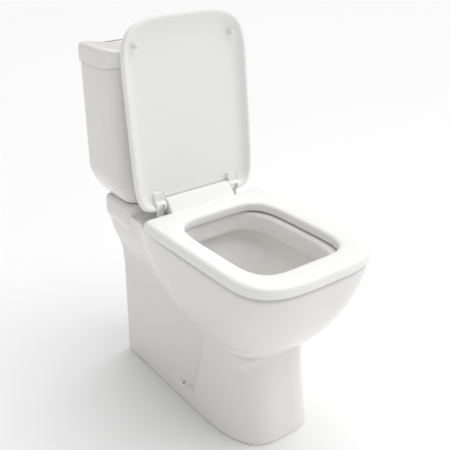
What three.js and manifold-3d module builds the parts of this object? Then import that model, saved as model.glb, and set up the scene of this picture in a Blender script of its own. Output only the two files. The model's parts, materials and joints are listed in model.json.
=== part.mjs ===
// Close coupled toilet: a ceramic pan with a cistern bolted to its back shelf, a hinged seat and lid,
// a dual flush push button and the flush and fill valves inside the cistern.
//
// Millimetres, +Z up. The wall behind the toilet is the plane Y = depth / 2 and the front faces -Y.
// The origin is on the floor, in the middle of the plan. Most places are given as a distance from the
// wall, which along() turns into Y.
import * as THREE from 'three';
import { mergeVertices } from 'three/addons/utils/BufferGeometryUtils.js';
import Module from 'manifold-3d';

const wasm = await Module();
wasm.setup();

// Overall sizes
const depth = 637;
const rimHeight = 442;
const cisternHeight = 334;

// Clearances
const seam = 0.4;
const lidSeam = 0.8;
const pinPlay = 0.4;
const boltPlay = 1.5;

// Seat and lid
const seatHalfWidth = 170.5;
const seatLength = 429;
const seatThickness = 24.6;
const bumperHeight = 4;
const openingHalfWidth = 121;
const openingLength = 309;
const openingFrontMargin = 64;
const lidGap = 3.4;
const lidDepth = 19;
const lidWall = 4;
const lidInset = 5.5;
const lidSetback = 25;
const notchGap = 1.5;
const openAngle = THREE.MathUtils.degToRad(96);

// Hinge
const hingeFromWall = 187;
const hingeRise = 11.4;
const barrelRadius = 15;
const barrelHalfLength = 89;
const earRadius = 12.5;
const earWidth = 25;
const postHeadRadius = 9;
const postWidth = 12;
const pillarHalf = 4.5;
const postSwing = 2.6;
const hingePinRadius = 3.4;
const studRadius = 4;
const studDepth = 36;
const sleeveWall = 2.6;

// Pan
const bowlHalfWidth = 168;
const bowlSide = 58;
const bowlFrontReach = 120;
const pedestalHalfWidth = 113;
const waistHalfWidth = 105;
const waistLength = 503;
const pedestalLength = 523;
const pedestalHeight = 228;
const ceramicWall = 14;
const rimBand = 46;
const rimUndercut = 16;
const sumpHeight = 176;
const shelfRise = 19;
const shelfHalfWidth = 141;
const shelfDepth = 124;
const shelfThickness = 31;
const trapRadius = 38;
const outletHeight = 180;
const fixingHoleRadius = 3.6;
const fixingHalfSpacing = 105;
const fixingFromWall = 268;
const recessHeight = 45;
const recessDepth = 16;

// Cistern
const cisternHalfWidth = 186;
const cisternDepth = 132;
const cisternWall = 10;
const cisternFloor = 13;
const cisternCorner = 82;
const cisternLidHeight = 30;
const cisternLidOverhang = 4;
const cisternLidWall = 13;
const hornHeight = 14;
const crownFlat = 35;
const valveFromWall = 63;
const boltHalfSpacing = 76;
const boltRadius = 4;
const inletDrop = 58;

// Flush valve, fill valve and buttons
const flushBore = 24;
const flushTail = 29;
const backNutRadius = 42;
const gasketRadius = 51;
const overflowRadius = 12;
const cageRadius = 31;
const collarRadius = 29;
const buttonRadius = 19.5;
const buttonSplit = -5;
const rodRadius = 2.6;
const inletRadius = 10;
const inletFromWall = 45;
const inletTailLength = 15;
const stemRadius = 9;
const stemLength = 122;
const floatRadius = 30;
const floatHeight = 60;
const leverArm = 38;
const leverPinRadius = 2;
const buttonTravel = 6;
const pistonLift = 18;

// Worked out from the sizes above
const along = (fromWall) => depth / 2 - fromWall;
const shelfHeight = rimHeight + shelfRise;
const seatBottom = rimHeight + bumperHeight;
const seatTop = seatBottom + seatThickness;
const hingeHeight = seatTop + hingeRise;
const lidBottom = seatTop + lidGap;
const lidTop = lidBottom + lidDepth;
const seatRear = depth - seatLength;
const ringMiddle = (seatHalfWidth + openingHalfWidth) / 2;
const openingFront = depth - openingFrontMargin;
const openingRear = openingFront - openingLength;
const cisternBottom = shelfHeight + 1;
const cisternTop = cisternBottom + cisternHeight;
const cisternInside = cisternBottom + cisternFloor;
const cisternLidBottom = cisternTop + lidSeam;
const cisternLidTop = cisternLidBottom + cisternLidHeight;
const earStart = barrelHalfLength + 2.4;
const earMiddle = earStart + earWidth / 2;
const inletHeight = cisternTop - inletDrop;

const ceramic = { color: 0xe9e7e4, roughness: 0.12, metalness: 0 };
const duroplast = { color: 0xf6f6f5, roughness: 0.22, metalness: 0 };
const rubber = { color: 0x2b2b2b, roughness: 0.8, metalness: 0 };
const clearRubber = { color: 0xd9dad8, roughness: 0.55, metalness: 0 };
const steel = { color: 0xb9bcc0, roughness: 0.3, metalness: 1 };
const brass = { color: 0xb8964e, roughness: 0.35, metalness: 1 };
const chrome = { color: 0xd4d7da, roughness: 0.08, metalness: 1 };
const whitePlastic = { color: 0xe4e5e6, roughness: 0.45, metalness: 0 };
const greyPlastic = { color: 0x8c9196, roughness: 0.5, metalness: 0 };

const group = new THREE.Group();

function addPart(name, geometry, finish, parent = group) {
  const mesh = new THREE.Mesh(geometry, new THREE.MeshStandardMaterial(finish));
  mesh.name = name;
  parent.add(mesh);
  return mesh;
}

// Solids and booleans
function toSolid(geometry) {
  const bare = geometry.clone();
  bare.deleteAttribute('normal');
  bare.deleteAttribute('uv');
  const merged = mergeVertices(bare, 1e-4);
  const triVerts = new Uint32Array(merged.index.array);
  const vertProperties = new Float32Array(merged.attributes.position.array);
  return new wasm.Manifold(new wasm.Mesh({ numProp: 3, vertProperties, triVerts }));
}

function toGeometry(solid) {
  const mesh = solid.getMesh();
  const geometry = new THREE.BufferGeometry();
  geometry.setAttribute('position', new THREE.BufferAttribute(mesh.vertProperties, 3));
  geometry.setIndex(new THREE.BufferAttribute(mesh.triVerts, 1));
  return geometry;
}

const joined = (first, ...others) => others.reduce((sum, g) => sum.add(toSolid(g)), toSolid(first));
const cut = (solid, ...others) => others.reduce((rest, g) => rest.subtract(toSolid(g)), solid);

// A closed outline in plan. It is widest at one distance from the wall and closes towards the front and
// the rear as two different superellipse halves. The rear end is cut flat.
function planRing(o, height, steps = 36) {
  const points = [];
  for (let i = 0; i < steps; i++) {
    const angle = (2 * Math.PI * (i + 0.5)) / steps;
    const across = Math.cos(angle);
    const forward = -Math.sin(angle);
    const power = 2 / (forward > 0 ? o.frontPower : o.rearPower);
    const reach = forward > 0 ? o.front - o.widest : o.widest - o.rear;
    const share = Math.min(1, Math.abs(forward) ** power * 1.004);
    const narrowing = forward > 0 ? 1 : 1 - (o.taper ?? 0) * share ** 2;
    const x = Math.sign(across) * Math.abs(across) ** power * o.half * narrowing;
    const fromWall = o.widest + Math.sign(forward) * share * reach;
    const z = typeof height === 'function' ? height(x, fromWall) : height;
    points.push(new THREE.Vector3(x, along(fromWall), z));
  }
  return points;
}

const inset = (o, by) => ({ ...o, half: o.half - by, front: o.front - by, rear: o.rear + by });

// Skin over a stack of rings. A loft with ends is closed by a fan at each end; a looped one, such as a
// seat ring, joins its last ring to its first.
function loft(rings, looped = false) {
  const steps = rings[0].length;
  const points = rings.flat();
  const index = [];
  const last = looped ? rings.length : rings.length - 1;
  for (let r = 0; r < last; r++) {
    const lower = r * steps;
    const upper = ((r + 1) % rings.length) * steps;
    for (let i = 0; i < steps; i++) {
      const j = (i + 1) % steps;
      index.push(lower + i, lower + j, upper + j, lower + i, upper + j, upper + i);
    }
  }
  if (!looped) {
    for (const [start, ring, turn] of [[0, rings[0], -1], [last * steps, rings[last], 1]]) {
      const middle = points.length;
      points.push(ring.reduce((sum, p) => sum.add(p), new THREE.Vector3()).divideScalar(steps));
      for (let i = 0; i < steps; i++) {
        const j = (i + 1) % steps;
        index.push(middle, start + (turn > 0 ? i : j), start + (turn > 0 ? j : i));
      }
    }
  }
  const geometry = new THREE.BufferGeometry().setFromPoints(points);
  geometry.setIndex(index);
  return geometry;
}

// Simple shapes, placed by x, distance from the wall and height
function upright(radius, from, to, x = 0, fromWall = 0, sides = 20, topRadius = radius) {
  const geometry = new THREE.CylinderGeometry(topRadius, radius, to - from, sides);
  geometry.rotateX(Math.PI / 2);
  return geometry.translate(x, along(fromWall), (from + to) / 2);
}

function sideways(radius, from, to, fromWall, height, sides = 20) {
  const geometry = new THREE.CylinderGeometry(radius, radius, to - from, sides);
  geometry.rotateZ(Math.PI / 2);
  return geometry.translate((from + to) / 2, along(fromWall), height);
}

function block(xs, fromWalls, heights) {
  const [width, reach, rise] = [xs, fromWalls, heights].map(([from, to]) => to - from);
  const [x, fromWall, z] = [xs, fromWalls, heights].map(([from, to]) => (from + to) / 2);
  return new THREE.BoxGeometry(width, reach, rise).translate(x, along(fromWall), z);
}

// A turned ring about a vertical axis: profile points are [radius, height], and the profile closes on itself
function turned(profile, x = 0, fromWall = 0, sides = 24) {
  const points = [...profile, profile[0]].map(([r, z]) => new THREE.Vector2(r, z));
  const geometry = new THREE.LatheGeometry(points, sides);
  geometry.rotateX(Math.PI / 2);
  geometry.scale(1, -1, 1);
  const flipped = geometry.index.array;
  for (let i = 0; i < flipped.length; i += 3) [flipped[i], flipped[i + 1]] = [flipped[i + 1], flipped[i]];
  return geometry.translate(x, along(fromWall), 0);
}

// Tube along a curve through points given as [x, distance from the wall, height]
function tube(points, radius, steps = 14, sides = 16) {
  const curve = new THREE.CatmullRomCurve3(points.map(([x, w, z]) => new THREE.Vector3(x, along(w), z)));
  const section = new THREE.Shape();
  section.absarc(0, 0, radius, 0, 2 * Math.PI);
  const options = { steps, extrudePath: curve, curveSegments: sides / 2 };
  return new THREE.ExtrudeGeometry(section, options);
}

// Pan

const bowlRim = {
  half: bowlHalfWidth, widest: 498, front: depth - 3, rear: 88, frontPower: 3.3, rearPower: 4,
};

// Outline of the bowl's outside at a share of its fall, 0 at the rim and 1 where it meets the pedestal
function bowlOutline(fall) {
  const swell = (1 - fall ** 1.44) ** (1 / 1.44);
  return {
    half: bowlRim.half - bowlSide * (1 - swell),
    widest: bowlRim.widest - 98 * (1 - swell),
    front: bowlRim.front - bowlFrontReach * (1 - swell),
    rear: bowlRim.rear + 212 * (1 - swell) ** 1.5,
    frontPower: 2.6 + 0.7 * swell,
    rearPower: bowlRim.rearPower,
  };
}

// The pedestal's outline at a height: it flares from its waist down to the floor, except along the wall
function pedestalAt(height) {
  const spread = Math.max(0, 1 - height / pedestalHeight) ** 1.6;
  const half = THREE.MathUtils.lerp(waistHalfWidth, pedestalHalfWidth, spread);
  const front = THREE.MathUtils.lerp(waistLength, pedestalLength, spread);
  return {
    half, widest: 330, front, rear: 0, frontPower: 3.1, rearPower: 60, taper: 1 - waistHalfWidth / half,
  };
}
const foot = pedestalAt(0);
const waist = pedestalAt(pedestalHeight);

function makeBowlOutside() {
  const bottom = pedestalHeight + 4;
  const falls = [0.99, 0.95, 0.87, 0.76, 0.62, 0.46, 0.3, 0.14, 0.035];
  const hidden = { ...inset(waist, recessDepth), rear: 250, rearPower: 4 };
  const rings = [planRing(hidden, pedestalHeight - 30), planRing(hidden, bottom - 5)];
  for (const fall of falls) {
    rings.push(planRing(bowlOutline(fall), rimHeight - fall * (rimHeight - bottom)));
  }
  rings.push(planRing(inset(bowlRim, 1.5), rimHeight - 2));
  rings.push(planRing(inset(bowlRim, 5), rimHeight));
  return loft(rings);
}

// The pedestal and the column behind the bowl that rises from it and flares out into the cistern shelf
function makePedestal() {
  const rings = [0, 20, 60, 110, 165, pedestalHeight].map((height) => planRing(pedestalAt(height), height));
  const columnFront = [
    [-0.19, 490], [-0.014, 490], [0.066, 380], [0.185, 300], [0.422, 245], [0.692, 215], [1, 190],
  ];
  const columnRings = columnFront.map(([share, front]) => {
    const rise = share * (rimHeight - 3 - pedestalHeight);
    const flareShare = THREE.MathUtils.smoothstep(share, 0.199, 0.934) ** 1.2;
    const half = THREE.MathUtils.lerp(waist.half, shelfHalfWidth, flareShare);
    const widest = Math.min(waist.widest, front * 0.6);
    return planRing({ ...waist, half, widest, front, frontPower: 5 }, pedestalHeight + rise);
  });
  const shelf = { ...waist, half: shelfHalfWidth + 3, widest: 60, front: shelfDepth, frontPower: 6 };
  const shelfRings = [planRing({ ...shelf, half: shelf.half - 6 }, rimHeight - 42)];
  shelfRings.push(planRing(shelf, rimHeight - 22), planRing(shelf, shelfHeight - 14));
  const topEdge = { ...shelf, half: shelfHalfWidth, front: shelfDepth - 3 };
  shelfRings.push(planRing(topEdge, shelfHeight - 4), planRing(topEdge, shelfHeight));
  const pedestal = joined(loft(rings), loft(columnRings), loft(shelfRings));
  return cut(pedestal, recessWedge(-1), recessWedge(1));
}

// The shallow recess in each side of the pedestal, over the floor fixing: it deepens slowly from the rear to
// a crisp front edge, leans forward as it rises, and runs out under the bowl
function recessWedge(side) {
  const deepest = foot.half - recessDepth;
  const outside = foot.half + 30;
  const outline = [
    [outside, 185], [foot.half, 185], [deepest, 290], [deepest, 306], [deepest + 2, 312], [outside, 314],
  ];
  const corners = outline.map(([x, fromWall]) => new THREE.Vector2(side * x, along(fromWall)));
  const shape = new THREE.Shape(corners);
  const wedge = new THREE.ExtrudeGeometry(shape, { depth: 200, bevelEnabled: false });
  wedge.applyMatrix4(new THREE.Matrix4().makeShear(0, 0, 0, 0, -0.03 * side, -0.22));
  return wedge.translate(0, 0, recessHeight);
}

const panOpening = {
  half: openingHalfWidth - 8, widest: 430, front: openingFront - 10, rear: openingRear - 14,
  frontPower: 4.2, rearPower: 4.2,
};

function makeBowlInside(grow = 0) {
  const bowlAt = (half, widest, front, rear) => inset(
    { half, widest, front, rear, frontPower: 2.6, rearPower: 2.6 }, -grow);
  const underRim = rimHeight - rimBand;
  const wallHeight = (share) => THREE.MathUtils.lerp(sumpHeight, underRim - 26, share);
  const rings = [
    planRing(bowlAt(44, 400, 446, 344), sumpHeight - grow),
    planRing(bowlAt(52, 402, 458, 340), sumpHeight + 26),
    planRing(bowlAt(66, 408, 490, 318), wallHeight(0.304)),
    planRing(bowlAt(90, 418, 530, 286), wallHeight(0.536)),
    planRing(bowlAt(112, 428, 562, 258), wallHeight(0.82)),
    planRing(inset(panOpening, -rimUndercut - grow + 8), underRim - 26),
    planRing(inset(panOpening, -rimUndercut - grow + 5), underRim),
    planRing(inset(panOpening, 6 - grow), underRim + 4),
    planRing(inset(panOpening, 5 - grow), rimHeight - 8),
    planRing(inset(panOpening, -grow), rimHeight + 1),
  ];
  return loft(rings);
}

// The waterway: over the weir behind the sump and back to the outlet
const trapRoute = [
  [0, 400, sumpHeight + 30], [0, 372, sumpHeight + 26], [0, 318, 226], [0, 262, 250], [0, 205, 214],
  [0, 150, outletHeight + 4], [0, 90, outletHeight], [0, 30, outletHeight],
];

function makePan() {
  const outside = joined(makeBowlOutside()).add(makePedestal());
  const hollowFoot = loft([
    planRing(inset(foot, ceramicWall + recessDepth), -1),
    planRing(inset(foot, ceramicWall + recessDepth), pedestalHeight - 20),
  ]);
  const inside = Math.max(waistHalfWidth - ceramicWall - 4, boltHalfSpacing + 10.6);
  const shelfUnderside = shelfHeight - shelfThickness;
  const backRoom = block([-inside, inside], [-1, shelfDepth - 16], [30, shelfUnderside]);
  const ductWalls = block([-46, 46], [valveFromWall - flushTail - 16, 250], [rimHeight - 76, shelfHeight]);
  let hollow = joined(hollowFoot, backRoom);
  hollow = cut(hollow, tube(trapRoute, trapRadius + 11), makeBowlInside(ceramicWall), ductWalls);
  const farSide = block([-pedestalHalfWidth, pedestalHalfWidth], [250, 520], [150, rimHeight - 22]);
  const roof = toSolid(makeBowlInside(ceramicWall)).intersect(toSolid(farSide));
  let pan = outside.subtract(hollow.subtract(roof));
  const flushDrop = upright(flushTail + 6, rimHeight - 54, shelfHeight + 1, 0, valveFromWall);
  const runEnd = panOpening.rear - 2;
  const flushRun = new THREE.CylinderGeometry(21, 21, runEnd - valveFromWall, 16);
  flushRun.translate(0, along((runEnd + valveFromWall) / 2), rimHeight - 33);
  const gasketSeat = upright(gasketRadius + 1, shelfHeight - 21, shelfHeight + 1, 0, valveFromWall, 28);
  const trapEnd = [0, -8, outletHeight];
  const trap = tube([...trapRoute, trapEnd], trapRadius);
  pan = cut(pan, makeBowlInside(), trap, flushDrop, flushRun, gasketSeat);
  for (const side of [-1, 1]) {
    const studHole = studRadius + sleeveWall + pinPlay;
    const holeFoot = rimHeight - studDepth - 4;
    const hole = upright(studHole, holeFoot, rimHeight + 1, side * earMiddle, hingeFromWall, 14);
    const bolt = boltRadius + boltPlay;
    const boltX = side * boltHalfSpacing;
    const boltHole = upright(bolt, shelfUnderside - 2, shelfHeight + 1, boltX, valveFromWall, 12);
    const fixingX = side * fixingHalfSpacing;
    const fixing = upright(fixingHoleRadius, -1, recessHeight + 20, fixingX, fixingFromWall, 12);
    pan = cut(pan, hole, boltHole, fixing);
  }
  return toGeometry(pan);
}

// Cistern

const cisternPlan = {
  half: cisternHalfWidth, widest: cisternDepth - cisternCorner + 5, front: cisternDepth, rear: 0,
  frontPower: 3.8, rearPower: 18,
};

// Outside width and front at a share of the cistern's height; the bottom corners are well rounded
function cisternAt(share) {
  const round = Math.max(0, 1 - share / 0.26) ** 1.65;
  const half = cisternHalfWidth - 5 * (1 - share) - 47 * round;
  return { ...cisternPlan, half, front: cisternDepth - 3 * (1 - share) - 10 * round };
}

function makeCistern() {
  const shares = [0, 0.015, 0.05, 0.1, 0.17, 0.26, 0.5, 0.8, 0.995];
  const rings = shares.map((share) => planRing(cisternAt(share), cisternBottom + share * cisternHeight));
  rings.push(planRing(inset(cisternAt(1), 1.5), cisternTop));
  rings.push(planRing(inset(cisternAt(1), cisternWall - 1.5), cisternTop));
  for (const share of [0.995, 0.6, 0.26, 0.13]) {
    rings.push(planRing(inset(cisternAt(share), cisternWall), cisternBottom + share * cisternHeight));
  }
  rings.push(planRing(inset(cisternAt(0.07), cisternWall + 4), cisternInside + 4));
  rings.push(planRing(inset(cisternAt(0.05), cisternWall + 12), cisternInside));
  const valveHole = upright(flushTail + 1.5, cisternBottom - 1, cisternInside + 2, 0, valveFromWall, 24);
  const throughWall = [cisternHalfWidth - 30, cisternHalfWidth + 5];
  const inletHole = sideways(inletRadius + 1.5, ...throughWall, inletFromWall, inletHeight);
  let cistern = cut(joined(loft(rings)), valveHole, inletHole);
  for (const side of [-1, 1]) {
    const hole = boltRadius + boltPlay;
    const x = side * boltHalfSpacing;
    cistern = cut(cistern, upright(hole, cisternBottom - 1, cisternInside + 2, x, valveFromWall, 12));
  }
  return toGeometry(cistern);
}

const lidPlan = {
  ...cisternPlan, half: cisternHalfWidth + cisternLidOverhang, front: cisternDepth + cisternLidOverhang,
};
const crownHalf = cisternHalfWidth - 14;
const crownRise = (x) => Math.max(0, Math.abs(x) - crownFlat) / (crownHalf - crownFlat);
const lidCrown = (x) => cisternLidTop + hornHeight * Math.min(1, crownRise(x)) ** 2;

function makeCisternLid() {
  const shrunk = (share) => {
    const middle = lidPlan.widest;
    return {
      ...lidPlan, half: lidPlan.half * share, front: middle + (lidPlan.front - middle) * share,
      rear: middle * (1 - share),
    };
  };
  const hollow = inset(lidPlan, cisternLidWall);
  const rings = [
    planRing(hollow, cisternLidBottom + cisternLidHeight - cisternLidWall - 4),
    planRing(hollow, cisternLidBottom), planRing(lidPlan, cisternLidBottom),
    planRing(lidPlan, (x) => lidCrown(x) - 12), planRing(inset(lidPlan, 2), (x) => lidCrown(x) - 5),
    planRing(inset(lidPlan, 7), (x) => lidCrown(x) - 1),
  ];
  for (const share of [0.9, 0.78, 0.6, 0.35, 0.15]) {
    rings.push(planRing(shrunk(share), (x) => lidCrown(x) - 1));
  }
  const lid = joined(loft(rings));
  const hole = upright(buttonRadius + 4, cisternLidBottom - 5, cisternLidTop + 20, 0, valveFromWall, 24);
  return toGeometry(cut(lid, hole));
}

// Seat and lid. Both are drawn closed, and the lid's group is turned open about the hinge. A ramp joins the
// seat's rear edge to its hinge barrel.

const seatPlan = {
  half: seatHalfWidth, widest: 498, front: depth, rear: seatRear, frontPower: 3.3, rearPower: 28,
  taper: 0.01,
};
const seatHole = {
  half: openingHalfWidth, widest: 430, front: openingFront, rear: openingRear,
  frontPower: 4.6, rearPower: 4.6,
};

function makeSeat() {
  const ring = (outline, by, height) => planRing(inset(outline, by), height);
  const seat = joined(loft([
    ring(seatPlan, 2.5, seatBottom), ring(seatPlan, 0, seatBottom + 3), ring(seatPlan, 0.4, seatTop - 9),
    ring(seatPlan, 4.5, seatTop - 2.4), ring(seatPlan, 13, seatTop),
    ring(seatHole, -16, seatTop - 0.4), ring(seatHole, -6, seatTop - 3), ring(seatHole, 0, seatTop - 10),
    ring(seatHole, 0, seatBottom + 3), ring(seatHole, -3, seatBottom),
  ], true));
  const reach = [-barrelHalfLength, barrelHalfLength];
  const barrel = sideways(barrelRadius, ...reach, hingeFromWall, hingeHeight, 28);
  const rearEdge = block(reach, [seatRear + 4, seatRear + 8], [seatBottom + 6, seatTop - 0.5]);
  let whole = seat.add(wasm.Manifold.hull([toSolid(barrel), toSolid(rearEdge)]));
  for (const side of [-1, 1]) {
    const ends = [side * (barrelHalfLength - 8), side * (barrelHalfLength + 1)].sort((a, b) => a - b);
    whole = cut(whole, sideways(hingePinRadius + pinPlay, ends[0], ends[1], hingeFromWall, hingeHeight, 14));
  }
  return toGeometry(whole);
}

const coverPlan = {
  half: seatHalfWidth - lidInset, widest: 470, front: depth - lidSetback, rear: hingeFromWall - 10,
  frontPower: 4, rearPower: 11, taper: 0.02,
};

function makeLid() {
  const ring = (by, height) => planRing(inset(coverPlan, by), height);
  const ceiling = lidTop - lidWall;
  const tray = joined(loft([
    ring(40, ceiling), ring(13, ceiling), ring(9.5, ceiling - 5), ring(8, lidBottom + 2), ring(6, lidBottom),
    ring(3, lidBottom), ring(0.5, lidBottom + 2.5), ring(0, lidBottom + 8), ring(2.5, lidTop - 4),
    ring(8, lidTop - 0.8), ring(16, lidTop), ring(90, lidTop + 1.2),
  ]));
  const notchHalf = barrelHalfLength + 2;
  const notchDepth = [hingeFromWall - 20, hingeFromWall + barrelRadius + notchGap];
  const notch = block([-notchHalf, notchHalf], notchDepth, [lidBottom - 10, lidTop + 10]);
  let lid = cut(tray, notch);
  for (const side of [-1, 1]) {
    const span = (from, to) => [side * from, side * to].sort((a, b) => a - b);
    const [earFrom, earTo] = span(earStart, earStart + earWidth);
    const ear = sideways(earRadius, earFrom, earTo, hingeFromWall, hingeHeight, 24);
    const gussetDepth = [hingeFromWall, hingeFromWall + 30];
    const gusset = block([earFrom, earTo], gussetDepth, [hingeHeight - 3, lidTop - 1]);
    lid = lid.add(joined(ear, gusset));
    const slotHalf = postWidth / 2 + pinPlay;
    const [slotFrom, slotTo] = span(earMiddle - slotHalf, earMiddle + slotHalf);
    const room = postHeadRadius + 0.6;
    const slot = sideways(room, slotFrom, slotTo, hingeFromWall, hingeHeight, 24);
    const reach = pillarHalf + postSwing;
    const sweep = [hingeFromWall - 40, hingeFromWall + pillarHalf + pinPlay];
    const postSweep = block([slotFrom, slotTo], sweep, [hingeHeight - 40, hingeHeight + reach]);
    const pinRoom = hingePinRadius + pinPlay;
    const pinHole = sideways(pinRoom, earFrom - 2, earTo + 2, hingeFromWall, hingeHeight, 14);
    lid = cut(lid, slot, postSweep, pinHole);
  }
  return toGeometry(lid);
}

function makePost(side) {
  const x = side * earMiddle;
  const half = postWidth / 2;
  const head = sideways(postHeadRadius, x - half, x + half, hingeFromWall, hingeHeight, 24);
  const pillarDepth = [hingeFromWall - pillarHalf, hingeFromWall + pillarHalf];
  const pillar = block([x - half, x + half], pillarDepth, [rimHeight + 2, hingeHeight]);
  const base = upright(15, rimHeight + seam, rimHeight + 4, x, hingeFromWall, 24, 13.5);
  const bore = sideways(hingePinRadius + 0.3, x - 20, x + 20, hingeFromWall, hingeHeight, 14);
  return toGeometry(cut(joined(head, pillar, base), bore));
}

// Fixed ceramics
addPart('pan', makePan(), ceramic);
addPart('cistern_body', makeCistern(), ceramic);
addPart('cistern_lid', makeCisternLid(), ceramic);

// Seat, lid, their bumpers and the hinge
addPart('seat_ring', makeSeat(), duroplast);

const hingeY = along(hingeFromWall);
const lidGroup = new THREE.Group();
lidGroup.position.set(0, hingeY, hingeHeight);
lidGroup.rotation.x = -openAngle;
group.add(lidGroup);
const aboutHinge = (geometry) => geometry.translate(0, -hingeY, -hingeHeight);
addPart('seat_lid', aboutHinge(makeLid()), duroplast, lidGroup);

for (const [side, hand] of [[-1, 'left'], [1, 'right']]) {
  const padFromWall = hingeFromWall + 366;
  const padX = side * (seatHalfWidth - 42.5);
  const lidPad = upright(5.5, seatTop + 0.4, lidTop - lidWall - seam, padX, padFromWall, 16, 8);
  addPart(`lid_bumper_${hand}`, aboutHinge(lidPad), clearRubber, lidGroup);
  const pads = [['rear', ringMiddle - 7.75, seatRear + 82], ['front', ringMiddle - 19.75, depth - 77]];
  for (const [end, x, fromWall] of pads) {
    const pad = upright(9, rimHeight + seam, seatBottom - 0.3, side * x, fromWall, 16);
    addPart(`seat_bumper_${end}_${hand}`, pad, clearRubber);
  }
  addPart(`hinge_post_${hand}`, makePost(side), whitePlastic);
  const pinEnds = [side * (barrelHalfLength - 7), side * (earStart + earWidth + 1)].sort((a, b) => a - b);
  const pin = sideways(hingePinRadius, pinEnds[0], pinEnds[1], hingeFromWall, hingeHeight, 16);
  addPart(`hinge_pin_${hand}`, pin, steel);
  const x = side * earMiddle;
  const studFoot = rimHeight - studDepth;
  addPart(`hinge_stud_${hand}`, upright(studRadius, studFoot, rimHeight, x, hingeFromWall, 14), steel);
  const sleeve = turned([
    [studRadius + 0.3, studFoot], [studRadius + sleeveWall, studFoot],
    [studRadius + sleeveWall, rimHeight - 0.4], [studRadius + 0.3, rimHeight - 0.4],
  ], x, hingeFromWall, 14);
  addPart(`expansion_sleeve_${hand}`, sleeve, rubber);
}

// Cistern to pan: sealing ring, bolts, washers and wing nuts
const gasket = turned([
  [backNutRadius + 1, shelfHeight - 20.5], [gasketRadius, shelfHeight - 20.5], [gasketRadius, shelfHeight],
  [gasketRadius - 2, shelfHeight + 0.6], [backNutRadius + 1, shelfHeight + 0.6],
], 0, valveFromWall);
addPart('sealing_ring', gasket, rubber);
for (const [side, hand] of [[-1, 'left'], [1, 'right']]) {
  const x = side * boltHalfSpacing;
  const underShelf = shelfHeight - shelfThickness;
  const washer = turned([
    [boltRadius + 0.4, cisternInside + 0.4], [13, cisternInside + 0.4], [13, cisternInside + 3.4],
    [boltRadius + 0.4, cisternInside + 3.4],
  ], x, valveFromWall, 18);
  addPart(`bolt_washer_${hand}`, washer, rubber);
  const headFrom = cisternInside + 3.8;
  const shank = upright(boltRadius, underShelf - 22, headFrom + 1, x, valveFromWall, 12);
  const head = upright(8, headFrom, headFrom + 4, x, valveFromWall, 6);
  addPart(`coupling_bolt_${hand}`, toGeometry(joined(shank, head)), brass);
  const nutTop = underShelf - 3;
  const hub = upright(8, nutTop - 10, nutTop, x, valveFromWall, 14);
  const wings = block([x - 2, x + 2], [valveFromWall - 16, valveFromWall + 16], [nutTop - 12, nutTop - 2]);
  const thread = upright(boltRadius + 0.3, nutTop - 20, nutTop + 5, x, valveFromWall, 12);
  addPart(`wing_nut_${hand}`, toGeometry(cut(joined(hub, wings), thread)), brass);
  const plate = turned([
    [boltRadius + 0.4, nutTop + 0.4], [10, nutTop + 0.4], [10, nutTop + 2.4],
    [boltRadius + 0.4, nutTop + 2.4],
  ], x, valveFromWall, 18);
  addPart(`shelf_washer_${hand}`, plate, clearRubber);
}

// Flush valve: a threaded tail through the cistern floor, a cage on it, and a piston that lifts
const valveSeat = cisternInside + 10;
const valveTail = turned([
  [flushBore, cisternBottom - 30], [flushTail, cisternBottom - 30], [flushTail, cisternInside + 3.4],
  [flushTail + 8, cisternInside + 3.4], [flushTail + 8, cisternInside + 6.4], [flushBore + 3, valveSeat],
  [flushBore, valveSeat],
], 0, valveFromWall);
addPart('flush_valve_tail', valveTail, whitePlastic);
addPart('tail_washer', turned([
  [flushTail + 0.4, cisternInside + 0.4], [flushTail + 9, cisternInside + 0.4],
  [flushTail + 9, cisternInside + 3], [flushTail + 0.4, cisternInside + 3],
], 0, valveFromWall), rubber);
addPart('back_nut', turned([
  [flushTail + 0.4, cisternBottom - 13], [backNutRadius, cisternBottom - 13],
  [backNutRadius, cisternBottom - 0.5], [flushTail + 0.4, cisternBottom - 0.5],
], 0, valveFromWall, 24), whitePlastic);

const cageFoot = valveSeat + 0.4;
const towerFrom = cisternInside + 70;
const towerTop = cisternTop - 62;
function makeCage() {
  const footRing = turned([
    [cageRadius, cageFoot], [cageRadius + 5, cageFoot], [cageRadius + 5, cageFoot + 5],
    [cageRadius, cageFoot + 5],
  ], 0, valveFromWall);
  const tower = turned([
    [cageRadius - 2, towerFrom], [cageRadius + 1, towerFrom], [cageRadius + 1, towerTop],
    [overflowRadius + 1.5, towerTop], [overflowRadius + 1.5, towerTop - 3], [cageRadius - 2, towerTop - 3],
  ], 0, valveFromWall);
  const legs = [0, 1, 2].map((n) => {
    const leg = new THREE.BoxGeometry(10, 4, towerFrom + 6 - cageFoot);
    leg.translate(0, cageRadius + 1.6, (towerFrom + 6 + cageFoot) / 2);
    leg.rotateZ((2 * Math.PI * n) / 3);
    return leg.translate(0, along(valveFromWall), 0);
  });
  return toGeometry(joined(footRing, tower, ...legs));
}
addPart('valve_cage', makeCage(), whitePlastic);

const sealBottom = valveSeat + 0.3;
addPart('piston_seal', turned([
  [overflowRadius - 2.4, sealBottom], [flushBore + 4, sealBottom], [flushBore + 4, sealBottom + 3],
  [overflowRadius - 2.4, sealBottom + 3],
], 0, valveFromWall), rubber);
const pistonTop = towerTop + 16;
addPart('flush_piston', turned([
  [overflowRadius - 2.4, sealBottom + 3.3], [flushBore + 2, sealBottom + 3.3],
  [flushBore + 2, sealBottom + 7], [overflowRadius, sealBottom + 9], [overflowRadius, pistonTop],
  [overflowRadius - 2.4, pistonTop],
], 0, valveFromWall), greyPlastic);

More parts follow.
